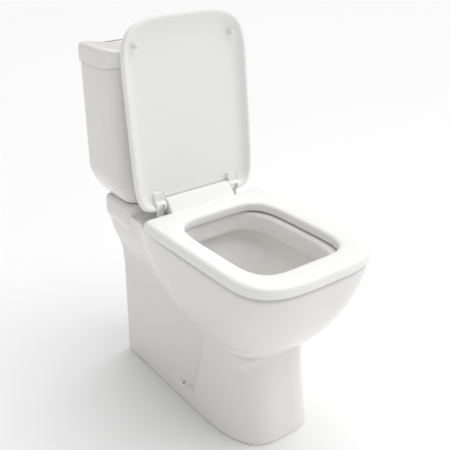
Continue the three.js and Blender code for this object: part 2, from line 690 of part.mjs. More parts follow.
// Push button in the cistern lid: a collar with its nut, and two buttons with their rods
const collarFoot = cisternLidTop - 26;
const collarBore = buttonRadius + 0.7;
addPart('button_collar', turned([
  [collarBore, collarFoot], [buttonRadius + 3, collarFoot], [buttonRadius + 3, cisternLidTop - 0.4],
  [collarRadius, cisternLidTop - 0.4], [collarRadius - 1.5, cisternLidTop + 2.6],
  [collarBore, cisternLidTop + 3.4],
], 0, valveFromWall, 32), chrome);
const lidUnderside = cisternLidBottom + cisternLidHeight - cisternLidWall - 4;
addPart('collar_nut', turned([
  [buttonRadius + 3.4, lidUnderside - 9], [buttonRadius + 11, lidUnderside - 9],
  [buttonRadius + 11, lidUnderside - 0.5], [buttonRadius + 3.4, lidUnderside - 0.5],
], 0, valveFromWall, 24), whitePlastic);

function makeButton(from, to, rodX) {
  const disc = toSolid(upright(buttonRadius, cisternLidTop - 8, cisternLidTop + 2.6, 0, valveFromWall, 32));
  const kept = [valveFromWall - 30, valveFromWall + 30];
  const keep = block([from, to], kept, [cisternLidTop - 20, cisternLidTop + 20]);
  const rodFoot = pistonTop + pistonLift + buttonTravel + 3;
  const rod = upright(rodRadius, rodFoot, cisternLidTop - 7, rodX, valveFromWall, 10);
  return toGeometry(disc.intersect(toSolid(keep)).add(toSolid(rod)));
}
addPart('half_flush_button', makeButton(-buttonRadius - 1, buttonSplit - 0.4, -12), chrome);
addPart('full_flush_button', makeButton(buttonSplit + 0.4, buttonRadius + 1, 9), chrome);

// Fill valve: a side inlet through the right wall, its back nut and washer, and a float on an arm
const wallOutside = cisternAt((inletHeight - cisternBottom) / cisternHeight).half;
const wallInside = wallOutside - cisternWall;
const tailEnd = wallOutside + inletTailLength;
const tail = sideways(inletRadius, wallInside - 30, tailEnd, inletFromWall, inletHeight, 20);
const shoulder = sideways(16, wallInside - 10, wallInside - 3.5, inletFromWall, inletHeight, 20);
const waterWay = sideways(6.5, wallInside - 4, tailEnd + 1, inletFromWall, inletHeight, 12);
const valveBody = block([wallInside - 58, wallInside - 28], [inletFromWall - 13, inletFromWall + 13],
  [inletHeight - 15, inletHeight + 15]);
const valveX = wallInside - 43;
const stemEnd = inletHeight - stemLength;
const stem = upright(stemRadius, stemEnd, inletHeight - 14, valveX, inletFromWall, 16);
const stemFoot = upright(14, stemEnd - 4, stemEnd, valveX, inletFromWall, 16);
const pivotX = valveX + 4;
const pivotHeight = inletHeight + 24;
const lugs = [-1, 1].map((side) => {
  const near = [inletFromWall + side * 5, inletFromWall + side * 10].sort((a, b) => a - b);
  return block([pivotX - 5, pivotX + 5], near, [inletHeight + 12, pivotHeight + 5]);
});
const pinBore = new THREE.CylinderGeometry(leverPinRadius + 0.3, leverPinRadius + 0.3, 40, 14);
pinBore.translate(pivotX, along(inletFromWall), pivotHeight);
const fillValve = joined(tail, shoulder, valveBody, stem, stemFoot, ...lugs);
addPart('fill_valve', toGeometry(cut(fillValve, waterWay, pinBore)), whitePlastic);
function sideWasher(inner, outer, from, to, sides) {
  const ring = cut(joined(sideways(outer, from, to, inletFromWall, inletHeight, sides)),
    sideways(inner, from - 1, to + 1, inletFromWall, inletHeight, 20));
  return toGeometry(ring);
}
const washerFrom = wallInside - 3.1;
addPart('inlet_washer', sideWasher(inletRadius + 0.4, 15, washerFrom, washerFrom + 2.4, 20), rubber);
const nutFrom = wallOutside + 1;
addPart('inlet_nut', sideWasher(inletRadius + 0.4, 16, nutFrom, nutFrom + 8, 6), whitePlastic);

const floatFrom = inletHeight - stemLength + 6;
const floatTop = floatFrom + floatHeight;
const cup = turned([
  [stemRadius + 1.2, floatFrom], [floatRadius, floatFrom], [floatRadius, floatTop - 4],
  [floatRadius - 4, floatTop], [stemRadius + 1.2, floatTop],
], valveX, inletFromWall);
const rodX = pivotX - leverArm;
const tabWidth = [inletFromWall - 5, inletFromWall + 5];
const tab = block([rodX - 4, valveX - 20], tabWidth, [floatTop - 10, floatTop - 5]);
const pushRod = upright(leverPinRadius, floatTop - 8, pivotHeight - 3.4, rodX, inletFromWall, 12);
addPart('float_cup', toGeometry(joined(cup, tab, pushRod)), greyPlastic);
const leverBar = block([rodX - 5, pivotX + 6], [inletFromWall - 4, inletFromWall + 4],
  [pivotHeight - 3, pivotHeight + 3]);
addPart('fill_lever', toGeometry(cut(joined(leverBar), pinBore)), whitePlastic);
const leverPin = new THREE.CylinderGeometry(leverPinRadius, leverPinRadius, 24, 12);
addPart('lever_pin', leverPin.translate(pivotX, along(inletFromWall), pivotHeight), steel);

export default group;
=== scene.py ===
import json
import math

import bmesh
import bpy
import numpy as np
from bpy.props import FloatProperty, FloatVectorProperty, IntProperty, PointerProperty
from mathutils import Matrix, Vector


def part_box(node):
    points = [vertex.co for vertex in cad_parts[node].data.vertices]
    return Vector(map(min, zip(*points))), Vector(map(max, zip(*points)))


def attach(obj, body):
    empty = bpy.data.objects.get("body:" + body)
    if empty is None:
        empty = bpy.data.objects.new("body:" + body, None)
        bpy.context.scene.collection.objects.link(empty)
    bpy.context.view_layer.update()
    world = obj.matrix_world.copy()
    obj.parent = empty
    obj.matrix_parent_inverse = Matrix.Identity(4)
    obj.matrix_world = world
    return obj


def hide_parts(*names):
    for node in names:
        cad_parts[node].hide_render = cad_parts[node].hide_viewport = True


bl_info = {
    "name": "Close Coupled Toilet",
    "version": (1, 0, 0),
    "blender": (4, 5, 0),
    "location": "View3D > Sidebar > Toilet",
    "description": "Builds the fine ceramic, seat and fittings of a close coupled toilet round its frame",
    "category": "Object",
}

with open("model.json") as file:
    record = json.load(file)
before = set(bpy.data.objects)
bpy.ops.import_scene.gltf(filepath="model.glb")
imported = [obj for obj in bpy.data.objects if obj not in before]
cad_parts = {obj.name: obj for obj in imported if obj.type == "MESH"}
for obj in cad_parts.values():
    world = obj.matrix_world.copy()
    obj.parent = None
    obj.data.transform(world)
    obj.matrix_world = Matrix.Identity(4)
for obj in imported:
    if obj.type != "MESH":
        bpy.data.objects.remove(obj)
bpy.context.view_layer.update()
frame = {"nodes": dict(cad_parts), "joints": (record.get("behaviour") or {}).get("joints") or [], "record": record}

MM = 0.001
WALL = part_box("cistern_body")[1].y
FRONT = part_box("seat_ring")[0].y
DEPTH = WALL - FRONT
SEAT_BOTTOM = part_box("seat_ring")[0].z
SHELF_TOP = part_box("pan")[1].z
HINGE = Vector(next(j["pos_m"] for j in frame["joints"] if j["name"] == "lid_hinge"))
HINGE_REACH = WALL - HINGE.y
OPEN_ANGLE = -math.radians(next(j["range_deg"][0] for j in frame["joints"] if j["name"] == "lid_hinge"))


# Sizes and colours that a user may change


def length(name, description, default, low, high):
    return FloatProperty(
        name=name, description=description, default=default, min=low, max=high,
        unit="LENGTH", subtype="DISTANCE",
    )


def colour(name, description, default):
    return FloatVectorProperty(
        name=name, description=description, default=default, min=0.0, max=1.0, subtype="COLOR",
    )


class ToiletSizes(bpy.types.PropertyGroup):
    """Sizes of the ceramic and the seat that the frame doesn't state"""

    bowl_half_width: length("Bowl Half Width", "Half the bowl's width at the rim", 0.168, 0.12, 0.22)
    pedestal_half_width: length(
        "Pedestal Half Width", "Half the pedestal's width on the floor", 0.113, 0.08, 0.16,
    )
    waist_half_width: length(
        "Waist Half Width", "Half the pedestal's width under the bowl", 0.105, 0.08, 0.16,
    )
    pedestal_height: length("Pedestal Height", "Height of the edge under the bowl", 0.228, 0.15, 0.3)
    rim_height: length("Rim Height", "Height of the pan's rim, under the seat", 0.442, 0.36, 0.5)
    horn_height: length(
        "Lid Horn Height", "Rise of the cistern lid's top towards its two ends", 0.014, 0.0, 0.03,
    )
    seat_half_width: length("Seat Half Width", "Half the seat's width", 0.1705, 0.13, 0.22)
    opening_half_width: length(
        "Opening Half Width", "Half the width of the seat's opening", 0.121, 0.09, 0.15,
    )
    clay_grain: length("Clay Grain", "Mesh size of the cast clay before it is glazed", 0.0035, 0.002, 0.02)
    ring_steps: IntProperty(
        name="Ring Steps", description="Points round each outline", default=208, min=48, max=480,
    )


class ToiletFinishes(bpy.types.PropertyGroup):
    """Colours of the finishes"""

    glaze: colour("Glaze", "Colour of the glazed ceramic", (0.74, 0.725, 0.705))
    seat_white: colour("Seat White", "Colour of the moulded seat and lid", (0.86, 0.86, 0.855))
    fitting_white: colour("Fitting White", "Colour of the white plastic fittings", (0.78, 0.78, 0.79))
    fitting_grey: colour("Fitting Grey", "Colour of the grey plastic fittings", (0.30, 0.32, 0.34))
    brass: colour("Brass", "Colour of the brass bolts and nuts", (0.62, 0.45, 0.20))


class StudioSettings(bpy.types.PropertyGroup):
    """The floor, the lights and the camera"""

    floor_colour: colour("Floor", "Colour of the floor", (0.90, 0.90, 0.90))
    surround: FloatProperty(
        name="Surround", description="Brightness of the studio round the toilet",
        default=0.46, min=0.0, max=3.0,
    )
    top_light: FloatProperty(
        name="Top Light", description="Strength of the broad light overhead", default=2.1, min=0.0, max=20.0,
    )
    side_light: FloatProperty(
        name="Side Light", description="Power of the softbox at the right", default=8.0, min=0.0, max=500.0,
        unit="POWER",
    )
    focal_length: FloatProperty(
        name="Focal Length", description="Focal length of the camera in millimetres",
        default=61.83, min=10.0, max=300.0,
    )


# Materials


class Wire:
    """An output socket with arithmetic: each operator adds a Math node to the material."""

    def __init__(self, finish, socket):
        self.finish = finish
        self.socket = socket

    def _maths(self, operation, *terms):
        return self.finish.node("ShaderNodeMath", {"operation": operation}, dict(enumerate(terms)))

    def __add__(self, other):
        return self._maths("ADD", self, other)

    def __radd__(self, other):
        return self._maths("ADD", other, self)

    def __sub__(self, other):
        return self._maths("SUBTRACT", self, other)

    def __rsub__(self, other):
        return self._maths("SUBTRACT", other, self)

    def __mul__(self, other):
        return self._maths("MULTIPLY", self, other)

    def __rmul__(self, other):
        return self._maths("MULTIPLY", other, self)

    def __truediv__(self, other):
        return self._maths("DIVIDE", self, other)

    def __pow__(self, other):
        return self._maths("POWER", self, other)


class Finish:
    """A material made of nodes, with a Principled shader as its surface."""

    def __init__(self, name, **constants):
        self.material = bpy.data.materials.new(name)
        self.material.use_nodes = True
        self.tree = self.material.node_tree
        self.shader = next(n for n in self.tree.nodes if n.type == "BSDF_PRINCIPLED")
        for socket, value in constants.items():
            self.shader.inputs[socket.replace("_", " ")].default_value = value
        self.place = self.node("ShaderNodeTexCoord", output="Object")

    def node(self, kind, settings=None, sockets=None, output=0):
        """Adds a node: its settings first, then the values or links of its sockets. Returns one output."""
        made = self.tree.nodes.new(kind)
        for name, value in (settings or {}).items():
            setattr(made, name, value)
        for name, value in (sockets or {}).items():
            if isinstance(value, Wire):
                self.tree.links.new(value.socket, made.inputs[name])
            else:
                made.inputs[name].default_value = value
        return Wire(self, made.outputs[output])

    def noise(self, size, detail=2.0, place=None):
        """Noise whose blotches are about size across, from 0 to 1."""
        sockets = {"Vector": place or self.place, "Scale": 1.0 / size, "Detail": detail, "Roughness": 0.5}
        return self.node("ShaderNodeTexNoise", {"noise_dimensions": "3D"}, sockets, "Fac")

    def band(self, wire, low, high):
        """0 where the wire is below low, 1 above high, and even between them."""
        sockets = {"Value": wire, "From Min": low, "From Max": high}
        return self.node("ShaderNodeMapRange", {"clamp": True}, sockets)

    def blend(self, factor, first, second):
        """Two colours mixed by the factor."""
        sockets = {0: factor, 6: (*first, 1.0), 7: (*second, 1.0)}
        for index, colour in ((6, first), (7, second)):
            if isinstance(colour, Wire):
                sockets[index] = colour
        return self.node("ShaderNodeMix", {"data_type": "RGBA"}, sockets, 2)

    def feed(self, **wires):
        for name, wire in wires.items():
            self.tree.links.new(wire.socket, self.shader.inputs[name.replace("_", " ")])

    def bump(self, height, depth, strength=1.0):
        """Relief of that depth in metres, from a wire that runs from 0 to 1."""
        sockets = {"Height": height, "Distance": depth, "Strength": strength}
        self.feed(Normal=self.node("ShaderNodeBump", None, sockets))


def shade(colour, share):
    return tuple(min(1.0, c * share) for c in colour)


def glazed_ceramic():
    """White vitreous glaze: faint clouding, a slow ripple from firing and a fine orange peel."""
    white = bpy.context.scene.toilet_finishes.glaze
    finish = Finish("glazed_ceramic", Roughness=0.1, IOR=1.52, Coat_Weight=0.35, Coat_Roughness=0.03)
    cloud = finish.band(finish.noise(0.09, 3.0), 0.35, 0.65)
    grain = finish.noise(0.004, 2.0)
    tint = finish.blend(cloud, shade(white, 0.965), shade(white, 1.02))
    pinhole = finish.band(finish.noise(0.0022, 0.0), 0.80, 0.84)
    finish.feed(Base_Color=finish.blend(pinhole * 0.25, tint, shade(white, 0.6)))
    finish.feed(Roughness=0.09 + 0.05 * grain + 0.03 * cloud)
    ripple = finish.noise(0.03, 1.0)
    finish.bump(ripple * 0.8 + grain * 0.03, 0.0004, 0.35)
    return finish.material


def seat_plastic():
    """Polished thermoset: even white, with a faint moulded waviness and small rubbing marks."""
    white = bpy.context.scene.toilet_finishes.seat_white
    finish = Finish("seat_plastic", Roughness=0.18, IOR=1.5, Coat_Weight=0.2, Coat_Roughness=0.08)
    cloud = finish.noise(0.12, 2.0)
    finish.feed(Base_Color=finish.blend(cloud, shade(white, 0.985), shade(white, 1.01)))
    rubbed = finish.band(finish.noise(0.02, 4.0), 0.45, 0.75)
    finish.feed(Roughness=0.15 + 0.08 * rubbed)
    finish.bump(finish.noise(0.045, 1.0) * 0.7 + finish.noise(0.0015, 1.0) * 0.02, 0.0003, 0.25)
    return finish.material


def moulded(name, colour, rough, relief=0.00006, **constants):
    """Moulded plastic or rubber with a fine texture and slight clouding."""
    finish = Finish(name, Roughness=rough, IOR=1.48, **constants)
    cloud = finish.noise(0.025, 3.0)
    texture = finish.noise(0.0012, 3.0)
    finish.feed(Base_Color=finish.blend(cloud, shade(colour, 0.9), shade(colour, 1.06)))
    finish.feed(Roughness=(rough - 0.06) + 0.12 * texture)
    finish.bump(texture, relief, 0.5)
    return finish.material


def turned_metal(name, colour, rough, relief=0.00003):
    """Metal with fine turning lines that run round the piece."""
    finish = Finish(name, Roughness=rough, Metallic=1.0)
    stretched = finish.node(
        "ShaderNodeMapping", {"vector_type": "POINT"}, {"Vector": finish.place, "Scale": (1.0, 1.0, 14.0)}, "Vector")
    lines = finish.noise(0.006, 4.0, stretched)
    tarnish = finish.band(finish.noise(0.012, 3.0), 0.4, 0.8)
    finish.feed(Base_Color=finish.blend(tarnish, colour, shade(colour, 0.72)))
    finish.feed(Roughness=rough + 0.1 * lines + 0.08 * tarnish)
    finish.bump(lines, relief, 0.4)
    return finish.material


def chrome():
    """Bright plating with a trace of haze."""
    finish = Finish("chrome", Metallic=1.0, Roughness=0.06)
    haze = finish.band(finish.noise(0.008, 4.0), 0.4, 0.8)
    finish.feed(Base_Color=finish.blend(haze, (0.74, 0.76, 0.78), (0.66, 0.68, 0.70)))
    finish.feed(Roughness=0.05 + 0.07 * haze)
    finish.bump(finish.noise(0.01, 1.0), 0.0001, 0.1)
    return finish.material


def make_finishes():
    """Every finish by the name of its slot in the record."""
    colours = bpy.context.scene.toilet_finishes
    return {
        "glazed_ceramic": glazed_ceramic(),
        "seat_plastic": seat_plastic(),
        "white_fittings": moulded("white_fittings", colours.fitting_white, 0.38),
        "grey_fittings": moulded("grey_fittings", colours.fitting_grey, 0.45),
        "black_rubber": moulded("black_rubber", (0.028, 0.027, 0.026), 0.7, 0.00012),
        "clear_buffer": moulded("clear_buffer", (0.74, 0.75, 0.74), 0.4, Transmission_Weight=0.25),
        "stainless_steel": turned_metal("stainless_steel", (0.56, 0.57, 0.59), 0.28),
        "brass": turned_metal("brass", tuple(colours.brass), 0.3),
        "chrome": chrome(),
    }


def slot_material(slot):
    """The finish of a slot, made when it is first asked for."""
    if slot not in bpy.data.materials:
        make_finishes()
    return bpy.data.materials[slot]


# Outlines and skins. An outline is given by distances from the wall, as in the frame.


def outline(half, widest, front, rear, front_power, rear_power, taper=0.0):
    return dict(half=half, widest=widest, front=front, rear=rear, front_power=front_power,
                rear_power=rear_power, taper=taper)


def inset(o, by):
    return {**o, "half": o["half"] - by, "front": o["front"] - by, "rear": o["rear"] + by}


def mix(a, b, share):
    return a + (b - a) * share


def ring(o, height, steps=None):
    """Points of a closed outline, made of a front and a rear superellipse half with a flat rear end."""
    steps = steps or bpy.context.scene.toilet_sizes.ring_steps
    angle = 2.0 * math.pi * (np.arange(steps) + 0.5) / steps
    across, forward = np.cos(angle), -np.sin(angle)
    ahead = forward > 0
    power = 2.0 / np.where(ahead, o["front_power"], o["rear_power"])
    reach = np.where(ahead, o["front"] - o["widest"], o["widest"] - o["rear"])
    share = np.minimum(1.0, np.abs(forward) ** power * 1.004)
    narrowing = np.where(ahead, 1.0, 1.0 - o["taper"] * share**2)
    x = np.sign(across) * np.abs(across) ** power * o["half"] * narrowing
    from_wall = o["widest"] + np.sign(forward) * share * reach
    z = height(x, from_wall) if callable(height) else np.full(steps, height)
    return np.stack([x, WALL - from_wall, z], axis=1)


def smooth_rings(keys, per_step):
    """Rings along a smooth curve through the key rings."""
    padded = [2 * keys[0] - keys[1], *keys, 2 * keys[-1] - keys[-2]]
    rings = []
    for i in range(len(keys) - 1):
        a, b, c, d = padded[i:i + 4]
        for k in range(per_step):
            t = k / per_step
            rings.append(0.5 * (2 * b + (c - a) * t + (2 * a - 5 * b + 4 * c - d) * t**2
                                + (3 * b - 3 * c + d - a) * t**3))
    rings.append(keys[-1])
    return rings


def arc(centre, radius, start, end, count):
    """Points on an arc in a section, each an inset and a height; angles in degrees."""
    turn = np.radians(np.linspace(start, end, count))
    return [(centre[0] + radius * math.cos(a), centre[1] + radius * math.sin(a)) for a in turn]


def skin(name, rings, looped=False):
    """A closed mesh object over a stack of rings, with a fan at each end or joined end to end."""
    steps = len(rings[0])
    points = np.concatenate(rings)
    faces = []
    for r in range(len(rings) if looped else len(rings) - 1):
        lower, upper = r * steps, (r + 1) % len(rings) * steps
        faces += [
            (lower + i, lower + (i + 1) % steps, upper + (i + 1) % steps, upper + i) for i in range(steps)
        ]
    if not looped:
        for start, turn in ((0, -1), ((len(rings) - 1) * steps, 1)):
            middle = len(points)
            points = np.concatenate([points, points[start:start + steps].mean(axis=0)[None]])
            for i in range(steps):
                a, b = start + i, start + (i + 1) % steps
                faces.append((middle, a, b) if turn > 0 else (middle, b, a))
    mesh = bpy.data.meshes.new(name)
    mesh.from_pydata(points.tolist(), [], faces)
    return face_outwards(place(name, mesh))


def place(name, mesh):
    made = bpy.data.objects.new(name, mesh)
    bpy.context.scene.collection.objects.link(made)
    return made


def face_outwards(piece):
    """Turns every face of a closed mesh outwards."""
    shell = bmesh.new()
    shell.from_mesh(piece.data)
    bmesh.ops.remove_doubles(shell, verts=shell.verts, dist=1e-6)
    bmesh.ops.dissolve_degenerate(shell, edges=shell.edges, dist=1e-7)
    bmesh.ops.recalc_face_normals(shell, faces=shell.faces)
    shell.to_mesh(piece.data)
    shell.free()
    return piece


def cuboid(name, xs, from_walls, heights, bevel=0.0, segments=3):
    """A box given by x, distance from the wall and height, with rounded edges."""
    shell = bmesh.new()
    bmesh.ops.create_cube(shell, size=1.0)
    for v in shell.verts:
        x, from_wall, height = mix(*xs, v.co.x + 0.5), mix(*from_walls, v.co.y + 0.5), mix(*heights, v.co.z + 0.5)
        v.co = Vector((x, WALL - from_wall, height))
    if bevel:
        bmesh.ops.bevel(shell, geom=shell.edges, offset=bevel, segments=segments, affect="EDGES", profile=0.5)
    mesh = bpy.data.meshes.new(name)
    shell.to_mesh(mesh)
    shell.free()
    return face_outwards(place(name, mesh))


def revolved(name, section, centre, axis="Z", sides=64):
    """A closed section of radius and height pairs, turned about an upright or sideways axis."""
    turn = 2 * math.pi * np.arange(sides) / sides
    rings = []
    for radius, along in section:
        a, b = radius * np.cos(turn), radius * np.sin(turn)
        level = np.full(sides, along)
        rings.append(np.stack([a, b, level] if axis == "Z" else [level, a, b], axis=1) + np.array(centre))
    return skin(name, rings, looped=True)


def rod(name, radius, low, high, centre, axis="Z", sides=48, round_by=0.0):
    """A cylinder between two places on its axis, with rounded ends."""
    section = [(1e-5, low)]
    if round_by:
        section += arc((radius - round_by, low + round_by), round_by, -90, 0, 6)
        section += arc((radius - round_by, high - round_by), round_by, 0, 90, 6)
    else:
        section += [(radius, low), (radius, high)]
    section.append((1e-5, high))
    turn = 2 * math.pi * np.arange(sides) / sides
    rings = []
    for r, along in section:
        a, b = r * np.cos(turn), r * np.sin(turn)
        level = np.full(sides, along)
        rings.append(np.stack([a, b, level] if axis == "Z" else [level, a, b], axis=1) + np.array(centre))
    return skin(name, rings)


def pipe(name, points, radius, sides=40, per_step=8):
    """A round pipe through points given as x, distance from the wall and height."""
    keys = [np.array((x, WALL - w, z)) for x, w, z in points]
    path = smooth_rings(keys, per_step)
    rings = []
    for i, p in enumerate(path):
        ahead = path[min(i + 1, len(path) - 1)] - path[max(i - 1, 0)]
        ahead /= np.linalg.norm(ahead)
        side = np.array((1.0, 0.0, 0.0))
        up = np.cross(ahead, side)
        turn = 2 * math.pi * np.arange(sides) / sides
        rings.append(p + radius * (np.outer(np.cos(turn), side) + np.outer(np.sin(turn), up)))
    return skin(name, rings)


# Joining, cutting and softening


def evaluated(piece):
    """Applies the piece's modifiers to its mesh."""
    graph = bpy.context.evaluated_depsgraph_get()
    mesh = bpy.data.meshes.new_from_object(piece.evaluated_get(graph))
    old = piece.data
    piece.modifiers.clear()
    piece.data = mesh
    bpy.data.meshes.remove(old)
    return piece


def discard(*pieces):
    for piece in pieces:
        mesh = piece.data
        bpy.data.objects.remove(piece)
        bpy.data.meshes.remove(mesh)


def carve(piece, *tools, operation="DIFFERENCE"):
    """Cuts each tool out of the piece, or joins it to the piece, and removes the tools."""
    for tool in tools:
        step = piece.modifiers.new("carve", "BOOLEAN")
        step.operation = operation
        step.solver = "MANIFOLD"
        step.object = tool
    bpy.context.view_layer.update()
    evaluated(piece)
    discard(*tools)
    if not piece.data.polygons:
        raise RuntimeError(f"{piece.name} was lost in a boolean")
    return piece


def cast(piece, grain, softening):
    """Fuses overlapping solids into one skin and softens its edges, as slip casting does."""
    remesh = piece.modifiers.new("cast", "REMESH")
    remesh.mode = "VOXEL"
    remesh.voxel_size = grain
    smooth = piece.modifiers.new("soften", "SMOOTH")
    smooth.factor = 0.5
    smooth.iterations = softening
    bpy.context.view_layer.update()
    return evaluated(piece)


def gathered(name, *pieces):
    """One object that holds the meshes of several."""
    shell = bmesh.new()
    for piece in pieces:
        shell.from_mesh(piece.data)
    mesh = bpy.data.meshes.new(name)
    shell.to_mesh(mesh)
    shell.free()
    discard(*pieces)
    return place(name, mesh)


def smooth_shaded(piece, angle=34.0):
    """Smooth faces with creases where they meet at more than the angle, in degrees."""
    for polygon in piece.data.polygons:
        polygon.use_smooth = True
    piece.data.set_sharp_from_angle(angle=math.radians(angle))
    return piece


def hand_over(piece, body, slot, *nodes, angle=34.0):
    """Gives a finished piece its finish, its body and the nodes that it stands for."""
    smooth_shaded(piece, angle)
    piece.data.materials.clear()
    piece.data.materials.append(slot_material(slot))
    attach(piece, body)
    if nodes:
        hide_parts(*nodes)
    return piece


# The pan: bowl, pedestal and the column that carries the cistern

RECESS_DEPTH = 0.016
RECESS_FOOT = 0.045
CASTING = 0.014
STUD_HALF_SPACING = 0.1039
BOLT_HALF_SPACING = 0.076
FIXING = (0.105, 0.268)

def bowl_rim():
    sizes = bpy.context.scene.toilet_sizes
    return outline(sizes.bowl_half_width, 0.498, DEPTH - 0.003, 0.088, 3.3, 4.0)


def bowl_outline(fall):
    """The bowl's outside at a share of its fall, 0 at the rim and 1 where it meets the pedestal."""
    rim = bowl_rim()
    swell = (1 - fall**1.44) ** (1 / 1.44)
    return outline(
        rim["half"] - 0.058 * (1 - swell), rim["widest"] - 0.098 * (1 - swell),
        rim["front"] - 0.120 * (1 - swell), rim["rear"] + 0.212 * (1 - swell) ** 1.5,
        2.6 + 0.7 * swell, rim["rear_power"],
    )


def pedestal_at(height):
    """The pedestal's outline at a height: it flares from its waist to the floor, except along the wall."""
    sizes = bpy.context.scene.toilet_sizes
    spread = max(0.0, 1 - height / sizes.pedestal_height) ** 1.6
    half = mix(sizes.waist_half_width, sizes.pedestal_half_width, spread)
    front = mix(0.503, 0.523, spread)
    return outline(half, 0.330, front, 0.0, 3.1, 60.0, 1 - sizes.waist_half_width / half)


def bowl_outside():
    sizes = bpy.context.scene.toilet_sizes
    bottom = sizes.pedestal_height + 0.004
    hidden = {**inset(pedestal_at(sizes.pedestal_height), RECESS_DEPTH), "rear": 0.250, "rear_power": 4.0}
    rings = [ring(hidden, sizes.pedestal_height - 0.030), ring(hidden, bottom - 0.005)]
    for fall in 1 - np.linspace(0.08, 0.985, 40) ** 1.6:
        rings.append(ring(bowl_outline(fall), sizes.rim_height - fall * (sizes.rim_height - bottom)))
    for by, drop in ((0.0010, 0.0035), (0.0022, 0.0018), (0.005, 0.0)):
        rings.append(ring(inset(bowl_rim(), by), sizes.rim_height - drop))
    return skin("bowl", rings)


def pedestal():
    height = bpy.context.scene.toilet_sizes.pedestal_height
    rings = []
    for z, out in ((0, -0.0006), (0.001, 0.0002), (0.003, 0.0005), (0.008, 0.0)):
        foot = pedestal_at(z)
        rings.append(ring({**foot, "half": foot["half"] + out, "front": foot["front"] + out}, z))
    for z in np.linspace(0.02, height, 12):
        rings.append(ring(pedestal_at(z), z))
    return skin("pedestal", rings)


def column():
    """Rises behind the bowl and flares out into the shelf under the cistern."""
    height = bpy.context.scene.toilet_sizes.pedestal_height
    waist = pedestal_at(height)
    keys = []
    for rise, front in ((-0.040, 0.490), (-0.003, 0.490), (0.014, 0.380), (0.039, 0.300), (0.089, 0.245),
                        (0.146, 0.215), (0.211, 0.190)):
        flare = min(1.0, max(0.0, (rise - 0.042) / 0.155))
        flare = (flare * flare * (3 - 2 * flare)) ** 1.2
        shape = {**waist, "half": mix(waist["half"], 0.142, flare), "front": front, "front_power": 5.0,
                 "widest": min(waist["widest"], front * 0.6)}
        keys.append(ring(shape, height + rise))
    return skin("column", smooth_rings(keys, 6))


def shelf():
    rim_height = bpy.context.scene.toilet_sizes.rim_height
    top = outline(0.141, 0.060, 0.121, 0.0, 6.0, 60.0)
    full = {**top, "half": 0.145, "front": 0.124}
    return skin("shelf", [
        ring({**full, "half": 0.138}, rim_height - 0.042), ring({**full, "half": 0.1425}, rim_height - 0.032),
        ring(full, rim_height - 0.022), ring(full, SHELF_TOP - 0.012),
        ring({**full, "half": 0.1432}, SHELF_TOP - 0.006),
        ring({**full, "half": 0.1420, "front": 0.1225}, SHELF_TOP - 0.0025), ring(top, SHELF_TOP),
    ])


def recess(side):
    """The pocket over the floor fixing: it deepens forward to a crisp edge and ends under the bowl."""
    half = bpy.context.scene.toilet_sizes.pedestal_half_width
    section = [(0.03, 0.170), (0.0, 0.185), (-RECESS_DEPTH, 0.290), (-RECESS_DEPTH, 0.306),
               (2 * MM - RECESS_DEPTH, 0.312), (0.03, 0.314)]
    rings = [
        np.array([
            (side * (half + x - 0.03 * rise), WALL - w - 0.22 * rise, RECESS_FOOT + rise) for x, w in section
        ])
        for rise in (0.0, 0.200)
    ]
    return skin("recess", rings)


def bowl_inside():
    """The bowl's hollow, with the lip under the rim."""
    sizes = bpy.context.scene.toilet_sizes
    mouth = outline(sizes.opening_half_width - 0.008, 0.430, 0.563, 0.250, 4.2, 4.2)
    under = sizes.rim_height - 0.046
    keys = [
        ring(outline(half, widest, front, rear, power, power), z)
        for half, widest, front, rear, power, z in (
            (0.030, 0.398, 0.430, 0.360, 2.3, 0.1765), (0.044, 0.400, 0.446, 0.344, 2.5, 0.182),
            (0.052, 0.402, 0.458, 0.340, 2.6, 0.202),
            (0.066, 0.408, 0.490, 0.318, 2.6, 0.235), (0.090, 0.418, 0.530, 0.286, 2.7, 0.280),
            (0.112, 0.428, 0.562, 0.258, 3.0, 0.335), (0.1215, 0.430, 0.5715, 0.2415, 4.0, 0.370),
        )
    ]
    rings = smooth_rings(keys, 6)
    rings += [ring(inset(mouth, by), z) for by, z in (
        (-0.0105, under - 0.010), (-0.011, under - 0.003), (-0.0095, under - 0.0005), (-0.006, under + 0.0005),
        (0.000, under), (0.0035, under + 0.0012), (0.0058, under + 0.004), (0.0062, under + 0.008),
        (0.005, sizes.rim_height - 0.008), (0.003, sizes.rim_height - 0.003), (0.000, sizes.rim_height),
        (-0.001, sizes.rim_height + 0.001),
    )]
    return skin("bowl_inside", rings)


TRAP_ROUTE = [
    (0, 0.400, 0.206), (0, 0.372, 0.202), (0, 0.318, 0.226), (0, 0.262, 0.250), (0, 0.205, 0.214),
    (0, 0.150, 0.184), (0, 0.090, 0.180), (0, 0.030, 0.180),
]


def pan_hollow():
    """The open back and underside of the casting, round the bowl, the trap and the flush duct."""
    height = bpy.context.scene.toilet_sizes.pedestal_height
    inner = inset(pedestal_at(0), CASTING + RECESS_DEPTH)
    under_foot = skin("under_foot", [ring(inner, -0.001), ring(inner, height - 0.020)])
    shelf_underside = SHELF_TOP - 0.031
    back_room = cuboid("back_room", (-0.087, 0.087), (-0.001, 0.108), (0.030, shelf_underside))
    hollow = carve(under_foot, back_room, operation="UNION")
    walls = [pipe("trap_wall", TRAP_ROUTE, 0.049)]
    walls.append(cuboid("duct_wall", (-0.046, 0.046), (0.018, 0.250), (0.366, SHELF_TOP)))
    walls.append(bowl_wall())
    return carve(hollow, *walls)


